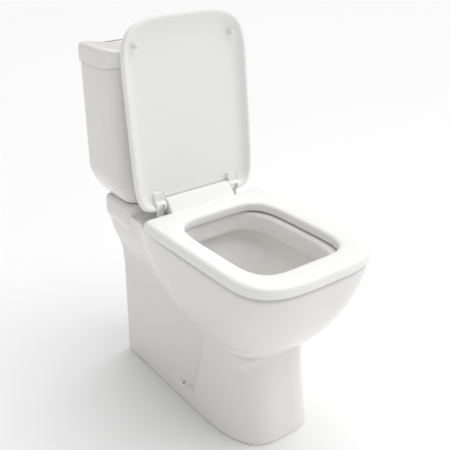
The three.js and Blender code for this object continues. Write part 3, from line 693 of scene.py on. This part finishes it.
def bowl_wall():
    keys = [
        ring(outline(half + 0.014, widest, front + 0.014, rear - 0.014, 2.6, 2.6), z)
        for half, widest, front, rear, z in (
            (0.044, 0.400, 0.446, 0.344, 0.162), (0.052, 0.402, 0.458, 0.340, 0.202),
            (0.066, 0.408, 0.490, 0.318, 0.235), (0.090, 0.418, 0.530, 0.286, 0.280),
            (0.112, 0.428, 0.562, 0.258, 0.335),
        )
    ]
    return skin("bowl_wall", smooth_rings(keys, 4))


class TOILET_OT_pan(bpy.types.Operator):
    """Casts the pan: bowl, pedestal, column and shelf in one skin, with its waterway and fixing holes"""

    bl_idname = "toilet.pan"
    bl_label = "Pan"
    bl_options = {"REGISTER", "UNDO"}

    def execute(self, context):
        sizes = context.scene.toilet_sizes
        rim = sizes.rim_height
        foot = carve(pedestal(), column(), operation="UNION")
        carve(foot, recess(-1), recess(1))
        pan = gathered("glazed_pan", bowl_outside(), foot, shelf())
        grain = sizes.clay_grain
        pan = cast(pan, grain, 5)
        valve = 0.063
        tools = [pan_hollow(), bowl_inside()]
        tools.append(pipe("waterway", [*TRAP_ROUTE, (0, -0.008, 0.180)], 0.038))
        tools.append(rod("flush_drop", 0.035, 0.388, SHELF_TOP + 0.001, (0, WALL - valve, 0)))
        tools.append(rod("gasket_seat", 0.052, SHELF_TOP - 0.021, SHELF_TOP + 0.001, (0, WALL - valve, 0)))
        tools.append(pipe("flush_run", [(0, valve, 0.409), (0, 0.15, 0.409), (0, 0.248, 0.409)], 0.021))
        for side in (-1, 1):
            stud_place = (side * STUD_HALF_SPACING, HINGE.y, 0)
            tools.append(rod("stud_hole", 0.007, rim - 0.040, rim + 0.002, stud_place, sides=24))
            bolt_place = (side * BOLT_HALF_SPACING, WALL - valve, 0)
            tools.append(rod("bolt_hole", 0.0055, SHELF_TOP - 0.034, SHELF_TOP + 0.001, bolt_place, sides=24))
            fixing_place = (side * FIXING[0], WALL - FIXING[1], 0)
            tools.append(rod("fixing_hole", 0.0036, -0.001, RECESS_FOOT + 0.020, fixing_place, sides=24))
        carve(pan, *tools)
        hand_over(pan, "toilet", "glazed_ceramic", "pan", angle=40.0)
        return {"FINISHED"}


# The cistern and its lid


CISTERN_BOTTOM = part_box("cistern_body")[0].z
CISTERN_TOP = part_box("cistern_body")[1].z
CISTERN_HEIGHT = CISTERN_TOP - CISTERN_BOTTOM
CISTERN_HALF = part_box("cistern_body")[1].x
CISTERN_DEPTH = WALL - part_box("cistern_body")[0].y
LID_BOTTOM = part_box("cistern_lid")[0].z
LID_TOP = LID_BOTTOM + 0.030
VALVE_FROM_WALL = 0.063
INLET_HEIGHT = CISTERN_TOP - 0.058
INLET_FROM_WALL = 0.045


def cistern_plan():
    return outline(CISTERN_HALF, CISTERN_DEPTH - 0.077, CISTERN_DEPTH, 0.0, 3.8, 24.0)


def cistern_at(share):
    """The cistern's outside at a share of its height. Its bottom corners are well rounded."""
    tuck = max(0.0, 1 - share / 0.26) ** 1.65
    plan = cistern_plan()
    return {**plan, "half": plan["half"] - 0.005 * (1 - share) - 0.047 * tuck,
            "front": plan["front"] - 0.003 * (1 - share) - 0.010 * tuck}


class TOILET_OT_cistern(bpy.types.Operator):
    """Makes the cistern: an open ceramic box with rounded bottom corners, holes and a rolled top edge"""

    bl_idname = "toilet.cistern"
    bl_label = "Cistern"
    bl_options = {"REGISTER", "UNDO"}

    def execute(self, context):
        wall = 0.010
        inside = CISTERN_BOTTOM + 0.013
        level = lambda share: CISTERN_BOTTOM + share * CISTERN_HEIGHT
        rings = [ring(inset(cistern_at(0), 0.0025), level(0))]
        rings.append(ring(inset(cistern_at(0.002), 0.0008), level(0.0025)))
        for share in (*np.linspace(0.008, 0.28, 26), *np.linspace(0.34, 0.98, 8)):
            rings.append(ring(cistern_at(share), level(share)))
        for by, drop in ((0.0003, 0.0025), (0.001, 0.001), (0.0025, 0.0), (wall - 0.0025, 0.0),
                         (wall - 0.001, 0.001)):
            rings.append(ring(inset(cistern_at(1.0), by), CISTERN_TOP - drop))
        for share in (0.98, 0.6, 0.3, 0.26, 0.22, 0.18, 0.13):
            rings.append(ring(inset(cistern_at(share), wall), level(share)))
        rings.append(ring(inset(cistern_at(0.07), wall + 0.004), inside + 0.004))
        rings.append(ring(inset(cistern_at(0.05), wall + 0.012), inside))
        cistern = skin("glazed_cistern", rings)
        centre = (0, WALL - VALVE_FROM_WALL, 0)
        tools = [rod("valve_hole", 0.0305, CISTERN_BOTTOM - 0.001, inside + 0.002, centre)]
        inlet = (0, WALL - INLET_FROM_WALL, INLET_HEIGHT)
        tools.append(rod("inlet_hole", 0.0115, CISTERN_HALF - 0.030, CISTERN_HALF + 0.005, inlet, axis="X"))
        for side in (-1, 1):
            bolt = (side * BOLT_HALF_SPACING, WALL - VALVE_FROM_WALL, 0)
            tools.append(rod("bolt_hole", 0.0055, CISTERN_BOTTOM - 0.001, inside + 0.002, bolt, sides=24))
        carve(cistern, *tools)
        hand_over(cistern, "toilet", "glazed_ceramic", "cistern_body")
        return {"FINISHED"}


def lid_crown(x):
    """Height of the cistern lid's top across its width: flat in the middle, with a horn at each end."""
    flat, full = 0.035, CISTERN_HALF - 0.014
    rise = np.minimum(1.0, np.maximum(0.0, np.abs(x) - flat) / (full - flat))
    return LID_TOP + bpy.context.scene.toilet_sizes.horn_height * rise**2


class TOILET_OT_cistern_lid(bpy.types.Operator):
    """Makes the cistern lid: a shallow ceramic cap, dished along its top, with the push button's hole"""

    bl_idname = "toilet.cistern_lid"
    bl_label = "Cistern Lid"
    bl_options = {"REGISTER", "UNDO"}

    def execute(self, context):
        plan = cistern_plan()
        plan = {**plan, "half": CISTERN_HALF + 0.004, "front": CISTERN_DEPTH + 0.004}
        wall = 0.013
        hollow = inset(plan, wall)
        over = lambda drop: (lambda x, w: lid_crown(x) - drop)
        ceiling = LID_TOP - wall - 0.004
        rings = [ring(hollow, ceiling), ring(inset(plan, wall - 0.001), LID_BOTTOM + 0.001)]
        rings += [ring(inset(plan, by), LID_BOTTOM) for by in (wall - 0.002, 0.0015)]
        rings.append(ring(plan, LID_BOTTOM + 0.0012))
        rings.append(ring(plan, over(0.014)))
        rings += [ring(inset(plan, 0.009 - 0.009 * math.cos(t)), over(0.0125 - 0.0115 * math.sin(t)))
                  for t in np.radians(np.arange(12, 96, 12))]
        middle = plan["widest"]
        for share in (0.9, 0.8, 0.7, 0.55, 0.4, 0.25, 0.12):
            shrunk = {**plan, "half": plan["half"] * share, "rear": middle * (1 - share),
                      "front": middle + (plan["front"] - middle) * share}
            rings.append(ring(shrunk, over(0.001)))
        lid = skin("glazed_cistern_lid", rings)
        hole = rod("button_hole", 0.0235, LID_BOTTOM - 0.005, LID_TOP + 0.020, (0, WALL - VALVE_FROM_WALL, 0))
        carve(lid, hole)
        hand_over(lid, "toilet", "glazed_ceramic", "cistern_lid")
        return {"FINISHED"}


# The seat, its lid and the hinge


SEAT_TOP = SEAT_BOTTOM + 0.0246
LID_CLOSED_BOTTOM = SEAT_TOP + 0.0034
LID_CLOSED_TOP = LID_CLOSED_BOTTOM + 0.019
BARREL_HALF = 0.089
BARREL_RADIUS = 0.015
EAR_START = BARREL_HALF + 0.0024
EAR_WIDTH = 0.025
EAR_MIDDLE = EAR_START + EAR_WIDTH / 2


def seat_plan():
    half = bpy.context.scene.toilet_sizes.seat_half_width
    return outline(half, 0.498, DEPTH, 0.208, 3.3, 28.0, 0.01)


def lid_plan():
    """The lid ends short of the seat's front and lies a little inside its sides."""
    half = bpy.context.scene.toilet_sizes.seat_half_width - 0.0055
    return outline(half, 0.470, DEPTH - 0.025, HINGE_REACH - 0.010, 4.0, 11.0, 0.02)


def opening_plan():
    half = bpy.context.scene.toilet_sizes.opening_half_width
    return outline(half, 0.430, DEPTH - 0.064, DEPTH - 0.373, 4.6, 4.6)


class TOILET_OT_seat(bpy.types.Operator):
    """Makes the seat ring with its rolled edges and the hinge barrel that grows out of its rear"""

    bl_idname = "toilet.seat"
    bl_label = "Seat"
    bl_options = {"REGISTER", "UNDO"}

    def execute(self, context):
        outer, inner = seat_plan(), opening_plan()
        rings = [ring(inset(outer, by), z) for by, z in (
            *arc((0.003, SEAT_BOTTOM + 0.003), -0.003, 90, 0, 5),
            *((0.0115 - a, z) for a, z in arc((0, SEAT_TOP - 0.0105), 0.0105, 4, 84, 9)),
            (0.018, SEAT_TOP - 0.0002), (0.026, SEAT_TOP),
        )]
        rings += [ring(inset(inner, by), z) for by, z in (
            (-0.018, SEAT_TOP - 0.0002), (-0.011, SEAT_TOP - 0.0012),
            *((-0.0085 + a, z) for a, z in arc((0, SEAT_TOP - 0.0105), 0.0085, 72, 0, 8)),
            (0.0, SEAT_BOTTOM + 0.003), (-0.001, SEAT_BOTTOM + 0.001), (-0.003, SEAT_BOTTOM),
        )]
        seat = skin("moulded_seat", rings, looped=True)
        carve(seat, self.barrel(), operation="UNION")
        holes = [
            rod("pin_hole", 0.0038, *sorted((side * (BARREL_HALF - 0.008), side * (BARREL_HALF + 0.001))),
                (0, HINGE.y, HINGE.z), axis="X", sides=24)
            for side in (-1, 1)
        ]
        carve(seat, *holes)
        hand_over(seat, "seat", "seat_plastic", "seat_ring")
        return {"FINISHED"}

    def barrel(self):
        """The hump at the seat's rear: a round back and a ramp down to the seat's top."""
        section = [(HINGE_REACH + a, z) for a, z in arc((0, HINGE.z), BARREL_RADIUS, 200, 39, 20)]
        foot = HINGE_REACH + 0.029
        section += [(foot - 0.001, SEAT_TOP), (foot, SEAT_TOP - 0.001), (foot, SEAT_BOTTOM + 0.006)]
        section += [(HINGE_REACH - 0.002, HINGE.z - 0.0148), (HINGE_REACH - 0.008, HINGE.z - 0.0127)]
        middle = np.array([HINGE_REACH, HINGE.z - 0.004])
        rings = []
        for x, shrink in ((-1, 0.90), (-0.994, 0.955), (-0.985, 0.985), (-0.97, 1.0), (0.97, 1.0),
                          (0.985, 0.985), (0.994, 0.955), (1, 0.90)):
            rings.append(np.array([
                (x * BARREL_HALF, WALL - mix(middle[0], w, shrink), mix(middle[1], z, shrink)) for w, z in section
            ]))
        return skin("barrel", rings)


def opened(piece):
    """Turns a piece that was drawn closed about the hinge to where the lid rests open."""
    points = np.array([v.co for v in piece.data.vertices])
    y, z = points[:, 1] - HINGE.y, points[:, 2] - HINGE.z
    cosine, sine = math.cos(OPEN_ANGLE), math.sin(OPEN_ANGLE)
    points[:, 1] = HINGE.y + y * cosine + z * sine
    points[:, 2] = HINGE.z - y * sine + z * cosine
    piece.data.vertices.foreach_set("co", points.ravel())
    return piece


class TOILET_OT_lid(bpy.types.Operator):
    """Makes the seat lid: a thin tray with a turned lip, and the two ears that hold it on the hinge"""

    bl_idname = "toilet.lid"
    bl_label = "Lid"
    bl_options = {"REGISTER", "UNDO"}

    def execute(self, context):
        plan = lid_plan()
        low, high = LID_CLOSED_BOTTOM, LID_CLOSED_TOP
        ceiling = high - 0.004
        rings = [ring(inset(plan, by), z) for by, z in (
            (0.080, ceiling), (0.042, ceiling), (0.034, ceiling - 0.0003), (0.027, ceiling - 0.0012),
            (0.021, ceiling - 0.0028), (0.0160, ceiling - 0.0052), (0.0122, ceiling - 0.0082),
            (0.0094, low + 0.0028),
            (0.0078, low + 0.0008), (0.006, low), (0.0035, low), (0.0016, low + 0.0008), (0.0006, low + 0.0025),
            (0.0, low + 0.006), (0.0, low + 0.0085),
            *((0.0095 - a, z) for a, z in arc((0, high - 0.0095), 0.0095, 8, 80, 8)),
            (0.013, high - 0.0004), (0.020, high), (0.040, high + 0.0005), (0.090, high + 0.0012),
        )]
        lid = skin("moulded_lid", rings)
        notch_half = BARREL_HALF + 0.002
        notch_depth = (HINGE_REACH - 0.020, HINGE_REACH + BARREL_RADIUS + 0.0015)
        notch = cuboid("notch", (-notch_half, notch_half), notch_depth, (low - 0.010, high + 0.010), 0.002)
        carve(lid, notch)
        for side in (-1, 1):
            span = lambda a, b: tuple(sorted((side * a, side * b)))
            ear = rod("ear", 0.0125, *span(EAR_START, EAR_START + EAR_WIDTH), (0, HINGE.y, HINGE.z), axis="X",
                      round_by=0.0016)
            gusset_depth = (HINGE_REACH, HINGE_REACH + 0.030)
            gusset = cuboid("gusset", span(EAR_START, EAR_START + EAR_WIDTH), gusset_depth,
                            (HINGE.z - 0.003, high - 0.001), 0.0015)
            carve(lid, ear, gusset, operation="UNION")
            slot = span(EAR_MIDDLE - 0.0064, EAR_MIDDLE + 0.0064)
            room = rod("post_room", 0.0096, *slot, (0, HINGE.y, HINGE.z), axis="X")
            sweep = cuboid("post_sweep", slot, (HINGE_REACH - 0.040, HINGE_REACH + 0.0049),
                           (HINGE.z - 0.040, HINGE.z + 0.0071))
            pin_hole = rod("pin_hole", 0.0038, *span(EAR_START - 0.002, EAR_START + EAR_WIDTH + 0.002),
                           (0, HINGE.y, HINGE.z), axis="X", sides=24)
            carve(lid, room, sweep, pin_hole)
        opened(lid)
        hand_over(lid, "lid", "seat_plastic", "seat_lid")
        return {"FINISHED"}


class TOILET_OT_hinges(bpy.types.Operator):
    """Makes the hinge posts with their round bases, and the stainless pins through them"""

    bl_idname = "toilet.hinges"
    bl_label = "Hinges"
    bl_options = {"REGISTER", "UNDO"}

    def execute(self, context):
        rim = context.scene.toilet_sizes.rim_height
        half = 0.006
        for side, hand in ((-1, "left"), (1, "right")):
            x = side * EAR_MIDDLE
            head = rod("moulded_post_" + hand, 0.009, x - half, x + half, (0, HINGE.y, HINGE.z), axis="X",
                       round_by=0.0012)
            pillar = cuboid("pillar", (x - half, x + half), (HINGE_REACH - 0.0045, HINGE_REACH + 0.0045),
                            (rim + 0.002, HINGE.z), 0.0012)
            base = revolved("post_base", [
                (1e-5, rim + 0.0004), (0.0148, rim + 0.0004), (0.015, rim + 0.0008), (0.0148, rim + 0.0026),
                (0.0140, rim + 0.0037), (0.0125, rim + 0.004), (1e-5, rim + 0.004),
            ], (x, HINGE.y, 0))
            carve(head, pillar, base, operation="UNION")
            carve(head, rod("bore", 0.0037, x - 0.020, x + 0.020, (0, HINGE.y, HINGE.z), axis="X", sides=24))
            hand_over(head, "toilet", "white_fittings", "hinge_post_" + hand)
            low, high = sorted((side * (BARREL_HALF - 0.007), side * (EAR_START + EAR_WIDTH + 0.001)))
            pin = rod("turned_pin_" + hand, 0.0034, low, high, (0, HINGE.y, HINGE.z), axis="X", round_by=0.0008)
            hand_over(pin, "toilet", "stainless_steel", "hinge_pin_" + hand)
        return {"FINISHED"}


class TOILET_OT_bumpers(bpy.types.Operator):
    """Makes the soft buffers under the lid and under the seat"""

    bl_idname = "toilet.bumpers"
    bl_label = "Bumpers"
    bl_options = {"REGISTER", "UNDO"}

    def execute(self, context):
        rim = context.scene.toilet_sizes.rim_height
        ceiling = LID_CLOSED_TOP - 0.0044
        tip = SEAT_TOP + 0.0004
        for side, hand in ((-1, "left"), (1, "right")):
            centre = (side * 0.128, WALL - HINGE_REACH - 0.366, 0)
            section = [(1e-5, tip), *arc((0.0025, tip + 0.003), 0.003, -90, 0, 6)]
            section += [(0.0062, tip + 0.009), (0.0072, ceiling - 0.001), (0.008, ceiling), (1e-5, ceiling)]
            pad = opened(revolved("lid_buffer_" + hand, section, centre, sides=40))
            hand_over(pad, "lid", "clear_buffer", "lid_bumper_" + hand)
            for end, x, from_wall in (("rear", 0.138, 0.290), ("front", 0.126, 0.560)):
                low, high = rim + 0.0004, SEAT_BOTTOM - 0.0003
                edge = arc((0.008, low + 0.001), 0.001, -90, 0, 4)
                section = [(1e-5, low), *edge, (0.009, high), (1e-5, high)]
                pad = revolved(f"seat_buffer_{end}_{hand}", section, (side * x, WALL - from_wall, 0), sides=40)
                hand_over(pad, "seat", "clear_buffer", f"seat_bumper_{end}_{hand}")
        return {"FINISHED"}


# The push button


class TOILET_OT_push_button(bpy.types.Operator):
    """Makes the chromed collar and the two halves of the push button, each with its rod"""

    bl_idname = "toilet.push_button"
    bl_label = "Push Button"
    bl_options = {"REGISTER", "UNDO"}

    def execute(self, context):
        centre = (0, WALL - VALVE_FROM_WALL, 0)
        bore, top = 0.0202, LID_TOP
        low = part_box("button_collar")[0].z
        collar = revolved("plated_collar", [
            (bore, low), (0.0225, low), (0.0225, top - 0.0004), (0.0288, top - 0.0004), (0.029, top),
            *arc((0.0265, top + 0.0004), 0.0025, 10, 80, 6), (0.0225, top + 0.0034), (0.0212, top + 0.0034),
            (bore, top + 0.0028),
        ], centre, sides=96)
        hand_over(collar, "toilet", "chrome", "button_collar")
        disc_radius, split = 0.0195, -0.005
        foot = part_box("full_flush_button")[0].z
        for name, body, span, rod_x in (
            ("half_flush", "half_button", (-0.0215, split - 0.0004), -0.012),
            ("full_flush", "full_button", (split + 0.0004, 0.0215), 0.009),
        ):
            rise = [(1e-5, top - 0.008), (disc_radius, top - 0.008), (disc_radius, top + 0.001),
                    *arc((disc_radius - 0.0012, top + 0.0012), 0.0012, 0, 80, 5),
                    (0.012, top + 0.0022), (1e-5, top + 0.0020)]
            disc = revolved("plated_" + name, rise, centre, sides=96)
            keep = cuboid("keep", span, (VALVE_FROM_WALL - 0.030, VALVE_FROM_WALL + 0.030), (top - 0.02, top + 0.02),
                          0.0006)
            carve(disc, keep, operation="INTERSECT")
            stalk = rod("stalk", 0.0026, foot, top - 0.007, (rod_x, centre[1], 0), sides=24, round_by=0.0008)
            carve(disc, stalk, operation="UNION")
            hand_over(disc, body, "chrome", name + "_button")
        return {"FINISHED"}


# Fixings and fittings: threads and grip ribs are laid out by Geometry Nodes


class Layout:
    """A Geometry Nodes tree with named inputs for its sizes."""

    def __init__(self, name, **sizes):
        self.tree = bpy.data.node_groups.new(name, "GeometryNodeTree")
        self.inputs = {}
        for label, (kind, default) in sizes.items():
            socket = self.tree.interface.new_socket(label, in_out="INPUT", socket_type=kind)
            socket.default_value = default
            self.inputs[label] = socket.identifier
        self.tree.interface.new_socket("Geometry", in_out="OUTPUT", socket_type="NodeSocketGeometry")
        self.entry = self.tree.nodes.new("NodeGroupInput")
        self.exit = self.tree.nodes.new("NodeGroupOutput")

    def size(self, label):
        return self.entry.outputs[label]

    def node(self, kind, settings=None, sockets=None, output=0):
        made = self.tree.nodes.new(kind)
        for name, value in (settings or {}).items():
            setattr(made, name, value)
        for name, value in (sockets or {}).items():
            if isinstance(value, bpy.types.NodeSocket):
                self.tree.links.new(value, made.inputs[name])
            else:
                made.inputs[name].default_value = value
        return made.outputs[output]

    def finish(self, instances, slot):
        solid = self.node("GeometryNodeRealizeInstances", None, {"Geometry": instances})
        painted = self.node("GeometryNodeSetMaterial", None, {"Geometry": solid, "Material": slot_material(slot)})
        self.tree.links.new(painted, self.exit.inputs[0])

    def mesh(self, name, **values):
        """A plain mesh object made by the tree with these sizes."""
        piece = place(name, bpy.data.meshes.new(name))
        step = piece.modifiers.new("layout", "NODES")
        step.node_group = self.tree
        for label, value in values.items():
            step[self.inputs[label]] = value
        bpy.context.view_layer.update()
        return evaluated(piece)


def thread_layout(slot):
    """Rings stacked along Z: the crests of a screw thread."""
    layout = Layout("thread_crests", Crests=("NodeSocketInt", 10), Pitch=("NodeSocketFloat", 0.0012),
                    Radius=("NodeSocketFloat", 0.004), Crest=("NodeSocketFloat", 0.0004))
    pitch = layout.node("ShaderNodeCombineXYZ", None, {"Z": layout.size("Pitch")})
    stack = layout.node("GeometryNodeMeshLine", {"mode": "OFFSET"},
                        {"Count": layout.size("Crests"), "Offset": pitch}, "Mesh")
    turn = layout.node("GeometryNodeCurvePrimitiveCircle", None,
                       {"Resolution": 40, "Radius": layout.size("Radius")}, "Curve")
    section = layout.node("GeometryNodeCurvePrimitiveCircle", None,
                          {"Resolution": 6, "Radius": layout.size("Crest")}, "Curve")
    crest = layout.node("GeometryNodeCurveToMesh", None, {"Curve": turn, "Profile Curve": section})
    copies = layout.node("GeometryNodeInstanceOnPoints", None, {"Points": stack, "Instance": crest})
    layout.finish(copies, slot)
    return layout


def grip_layout(slot):
    """Upright ribs round a nut, for fingers to turn it by."""
    layout = Layout("grip_ribs", Ribs=("NodeSocketInt", 24), Radius=("NodeSocketFloat", 0.04),
                    Width=("NodeSocketFloat", 0.003), Height=("NodeSocketFloat", 0.01))
    circle = layout.node("GeometryNodeMeshCircle", None,
                         {"Vertices": layout.size("Ribs"), "Radius": layout.size("Radius")}, "Mesh")
    rib = layout.node("GeometryNodeMeshCylinder", None, {
        "Vertices": 10, "Radius": layout.size("Width"), "Depth": layout.size("Height")}, "Mesh")
    copies = layout.node("GeometryNodeInstanceOnPoints", None, {"Points": circle, "Instance": rib})
    layout.finish(copies, slot)
    return layout


def moved(piece, x, y, z, sideways=False):
    """Moves a mesh drawn about the origin into place, turned to lie along X if asked."""
    points = np.array([v.co for v in piece.data.vertices])
    if sideways:
        points = points[:, [2, 0, 1]]
    piece.data.vertices.foreach_set("co", (points + np.array((x, y, z))).ravel())
    return piece


class TOILET_OT_fixings(bpy.types.Operator):
    """Adds screw threads to the bolts, studs, valve tail and inlet, and grip ribs to the two round nuts"""

    bl_idname = "toilet.fixings"
    bl_label = "Fixings"
    bl_options = {"REGISTER", "UNDO"}

    def execute(self, context):
        valve_y = WALL - VALVE_FROM_WALL
        brass, steel = thread_layout("brass"), thread_layout("stainless_steel")
        plastic = thread_layout("white_fittings")
        for side, hand in ((-1, "left"), (1, "right")):
            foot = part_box("coupling_bolt_" + hand)[0].z
            thread = brass.mesh("bolt_thread_" + hand, Crests=9, Pitch=0.0012, Radius=0.004, Crest=0.00045)
            moved(thread, side * 0.076, valve_y, foot + 0.001)
            hand_over(thread, "toilet", "brass")
            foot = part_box("hinge_stud_" + hand)[0].z
            thread = steel.mesh("stud_thread_" + hand, Crests=22, Pitch=0.0015, Radius=0.0039, Crest=0.0003)
            moved(thread, side * EAR_MIDDLE, HINGE.y, foot + 0.002)
            hand_over(thread, "toilet", "stainless_steel")
        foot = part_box("flush_valve_tail")[0].z
        thread = plastic.mesh("valve_tail_thread", Crests=6, Pitch=0.0027, Radius=0.0288, Crest=0.0005)
        hand_over(moved(thread, 0, valve_y, foot + 0.002), "toilet", "white_fittings")
        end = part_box("fill_valve")[1].x
        thread = plastic.mesh("inlet_thread", Crests=4, Pitch=0.0014, Radius=0.0099, Crest=0.0005)
        moved(thread, end - 0.0052, WALL - INLET_FROM_WALL, INLET_HEIGHT, sideways=True)
        hand_over(thread, "toilet", "white_fittings")
        ribs = grip_layout("white_fittings")
        for nut, body_radius in (("back_nut", 0.042), ("collar_nut", 0.0305)):
            low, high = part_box(nut)
            grip = ribs.mesh(nut + "_grip", Ribs=24, Radius=body_radius - 0.0003, Width=0.0016,
                             Height=(high.z - low.z) * 0.9)
            hand_over(moved(grip, 0, valve_y, (low.z + high.z) / 2), "toilet", "white_fittings")
        return {"FINISHED"}


class TOILET_OT_fittings(bpy.types.Operator):
    """Gives the fittings that keep their frame shape the finish of their slot"""

    bl_idname = "toilet.fittings"
    bl_label = "Fittings"
    bl_options = {"REGISTER", "UNDO"}

    def execute(self, context):
        slots = {s["node"]: s["material_slot"] for s in frame["record"]["subparts"]}
        for name, node in frame["nodes"].items():
            if node.hide_render:
                continue
            if not node.material_slots:
                node.data.materials.append(None)
            for holder in node.material_slots:
                holder.material = slot_material(slots[name])
        return {"FINISHED"}


# The studio


def softbox(name, place_at, aim_at, size, power, colour=(1.0, 1.0, 1.0)):
    light = bpy.data.lights.new(name, "AREA")
    light.shape = "RECTANGLE"
    light.size, light.size_y = size
    light.energy = power
    light.color = colour
    made = place(name, light)
    made.location = place_at
    made.rotation_euler = (Vector(aim_at) - Vector(place_at)).to_track_quat("-Z", "Y").to_euler()
    return made


class TOILET_OT_stage(bpy.types.Operator):
    """Sets the pale floor, the soft studio lights and the camera"""

    bl_idname = "toilet.stage"
    bl_label = "Stage"
    bl_options = {"REGISTER", "UNDO"}

    def execute(self, context):
        studio = context.scene.toilet_studio
        self.floor(studio)
        self.lights(context, studio)
        self.camera(context, studio)
        return {"FINISHED"}

    def floor(self, studio):
        radius, sides = 14.0, 96
        shell = bmesh.new()
        bmesh.ops.create_circle(shell, cap_ends=True, radius=radius, segments=sides)
        mesh = bpy.data.meshes.new("studio_floor")
        shell.to_mesh(mesh)
        shell.free()
        floor = place("studio_floor", mesh)
        for v in mesh.vertices:
            v.co.z = -0.0002
        finish = Finish("studio_floor", Roughness=0.7)
        colour = tuple(studio.floor_colour)
        cloud = finish.noise(0.6, 2.0)
        finish.feed(Base_Color=finish.blend(cloud, shade(colour, 0.99), colour))
        mesh.materials.append(finish.material)

    def lights(self, context, studio):
        world = bpy.data.worlds.new("studio_world")
        world.use_nodes = True
        background = next(n for n in world.node_tree.nodes if n.type == "BACKGROUND")
        background.inputs["Color"].default_value = (1.0, 1.0, 1.0, 1.0)
        background.inputs["Strength"].default_value = studio.surround
        context.scene.world = world
        sky = bpy.data.lights.new("overhead", "SUN")
        sky.energy = studio.top_light
        sky.angle = math.radians(70.0)
        overhead = place("overhead", sky)
        overhead.rotation_euler = Vector((-0.34, 0.10, -1.0)).to_track_quat("-Z", "Y").to_euler()
        tint = (1.0, 0.99, 0.98)
        softbox("right_softbox", (2.6, -1.6, 1.5), (0.0, 0.0, 0.5), (1.2, 2.0), studio.side_light, tint)

    def camera(self, context, studio):
        lens = bpy.data.cameras.new("camera")
        lens.lens = studio.focal_length
        lens.sensor_width = 36.0
        lens.shift_x, lens.shift_y = -0.0220, -0.1117
        lens.clip_end = 100.0
        camera = place("camera", lens)
        camera.location = (-0.9505, -1.2518, 1.2007)
        aim = Vector((-0.0084, -0.0247, 0.5844))
        camera.rotation_euler = (aim - camera.location).to_track_quat("-Z", "Y").to_euler()
        context.scene.camera = camera
        context.scene.view_settings.view_transform = "Standard"


# The sidebar panel and the order of making


MAKING = (
    TOILET_OT_stage, TOILET_OT_pan, TOILET_OT_cistern, TOILET_OT_cistern_lid, TOILET_OT_seat, TOILET_OT_lid,
    TOILET_OT_hinges, TOILET_OT_bumpers, TOILET_OT_push_button, TOILET_OT_fixings, TOILET_OT_fittings,
)


class TOILET_PT_making(bpy.types.Panel):
    """Lists the sizes, the finishes and the pieces in the order of making"""

    bl_idname = "TOILET_PT_making"
    bl_label = "Toilet"
    bl_space_type = "VIEW_3D"
    bl_region_type = "UI"
    bl_category = "Toilet"

    def draw(self, context):
        for group in (context.scene.toilet_sizes, context.scene.toilet_finishes, context.scene.toilet_studio):
            column = self.layout.column(align=True)
            for name in group.bl_rna.properties.keys():
                if name not in ("rna_type", "name"):
                    column.prop(group, name)
        for operator in MAKING:
            self.layout.operator(operator.bl_idname)


CLASSES = (ToiletSizes, ToiletFinishes, StudioSettings, *MAKING, TOILET_PT_making)


def register():
    for cls in CLASSES:
        bpy.utils.register_class(cls)
    bpy.types.Scene.toilet_sizes = PointerProperty(type=ToiletSizes)
    bpy.types.Scene.toilet_finishes = PointerProperty(type=ToiletFinishes)
    bpy.types.Scene.toilet_studio = PointerProperty(type=StudioSettings)


def unregister():
    del bpy.types.Scene.toilet_studio
    del bpy.types.Scene.toilet_finishes
    del bpy.types.Scene.toilet_sizes
    for cls in reversed(CLASSES):
        bpy.utils.unregister_class(cls)


def main():
    register()
    for operator in MAKING:
        area, name = operator.bl_idname.split(".")
        getattr(getattr(bpy.ops, area), name)()


if __name__ == "__main__":
    main()
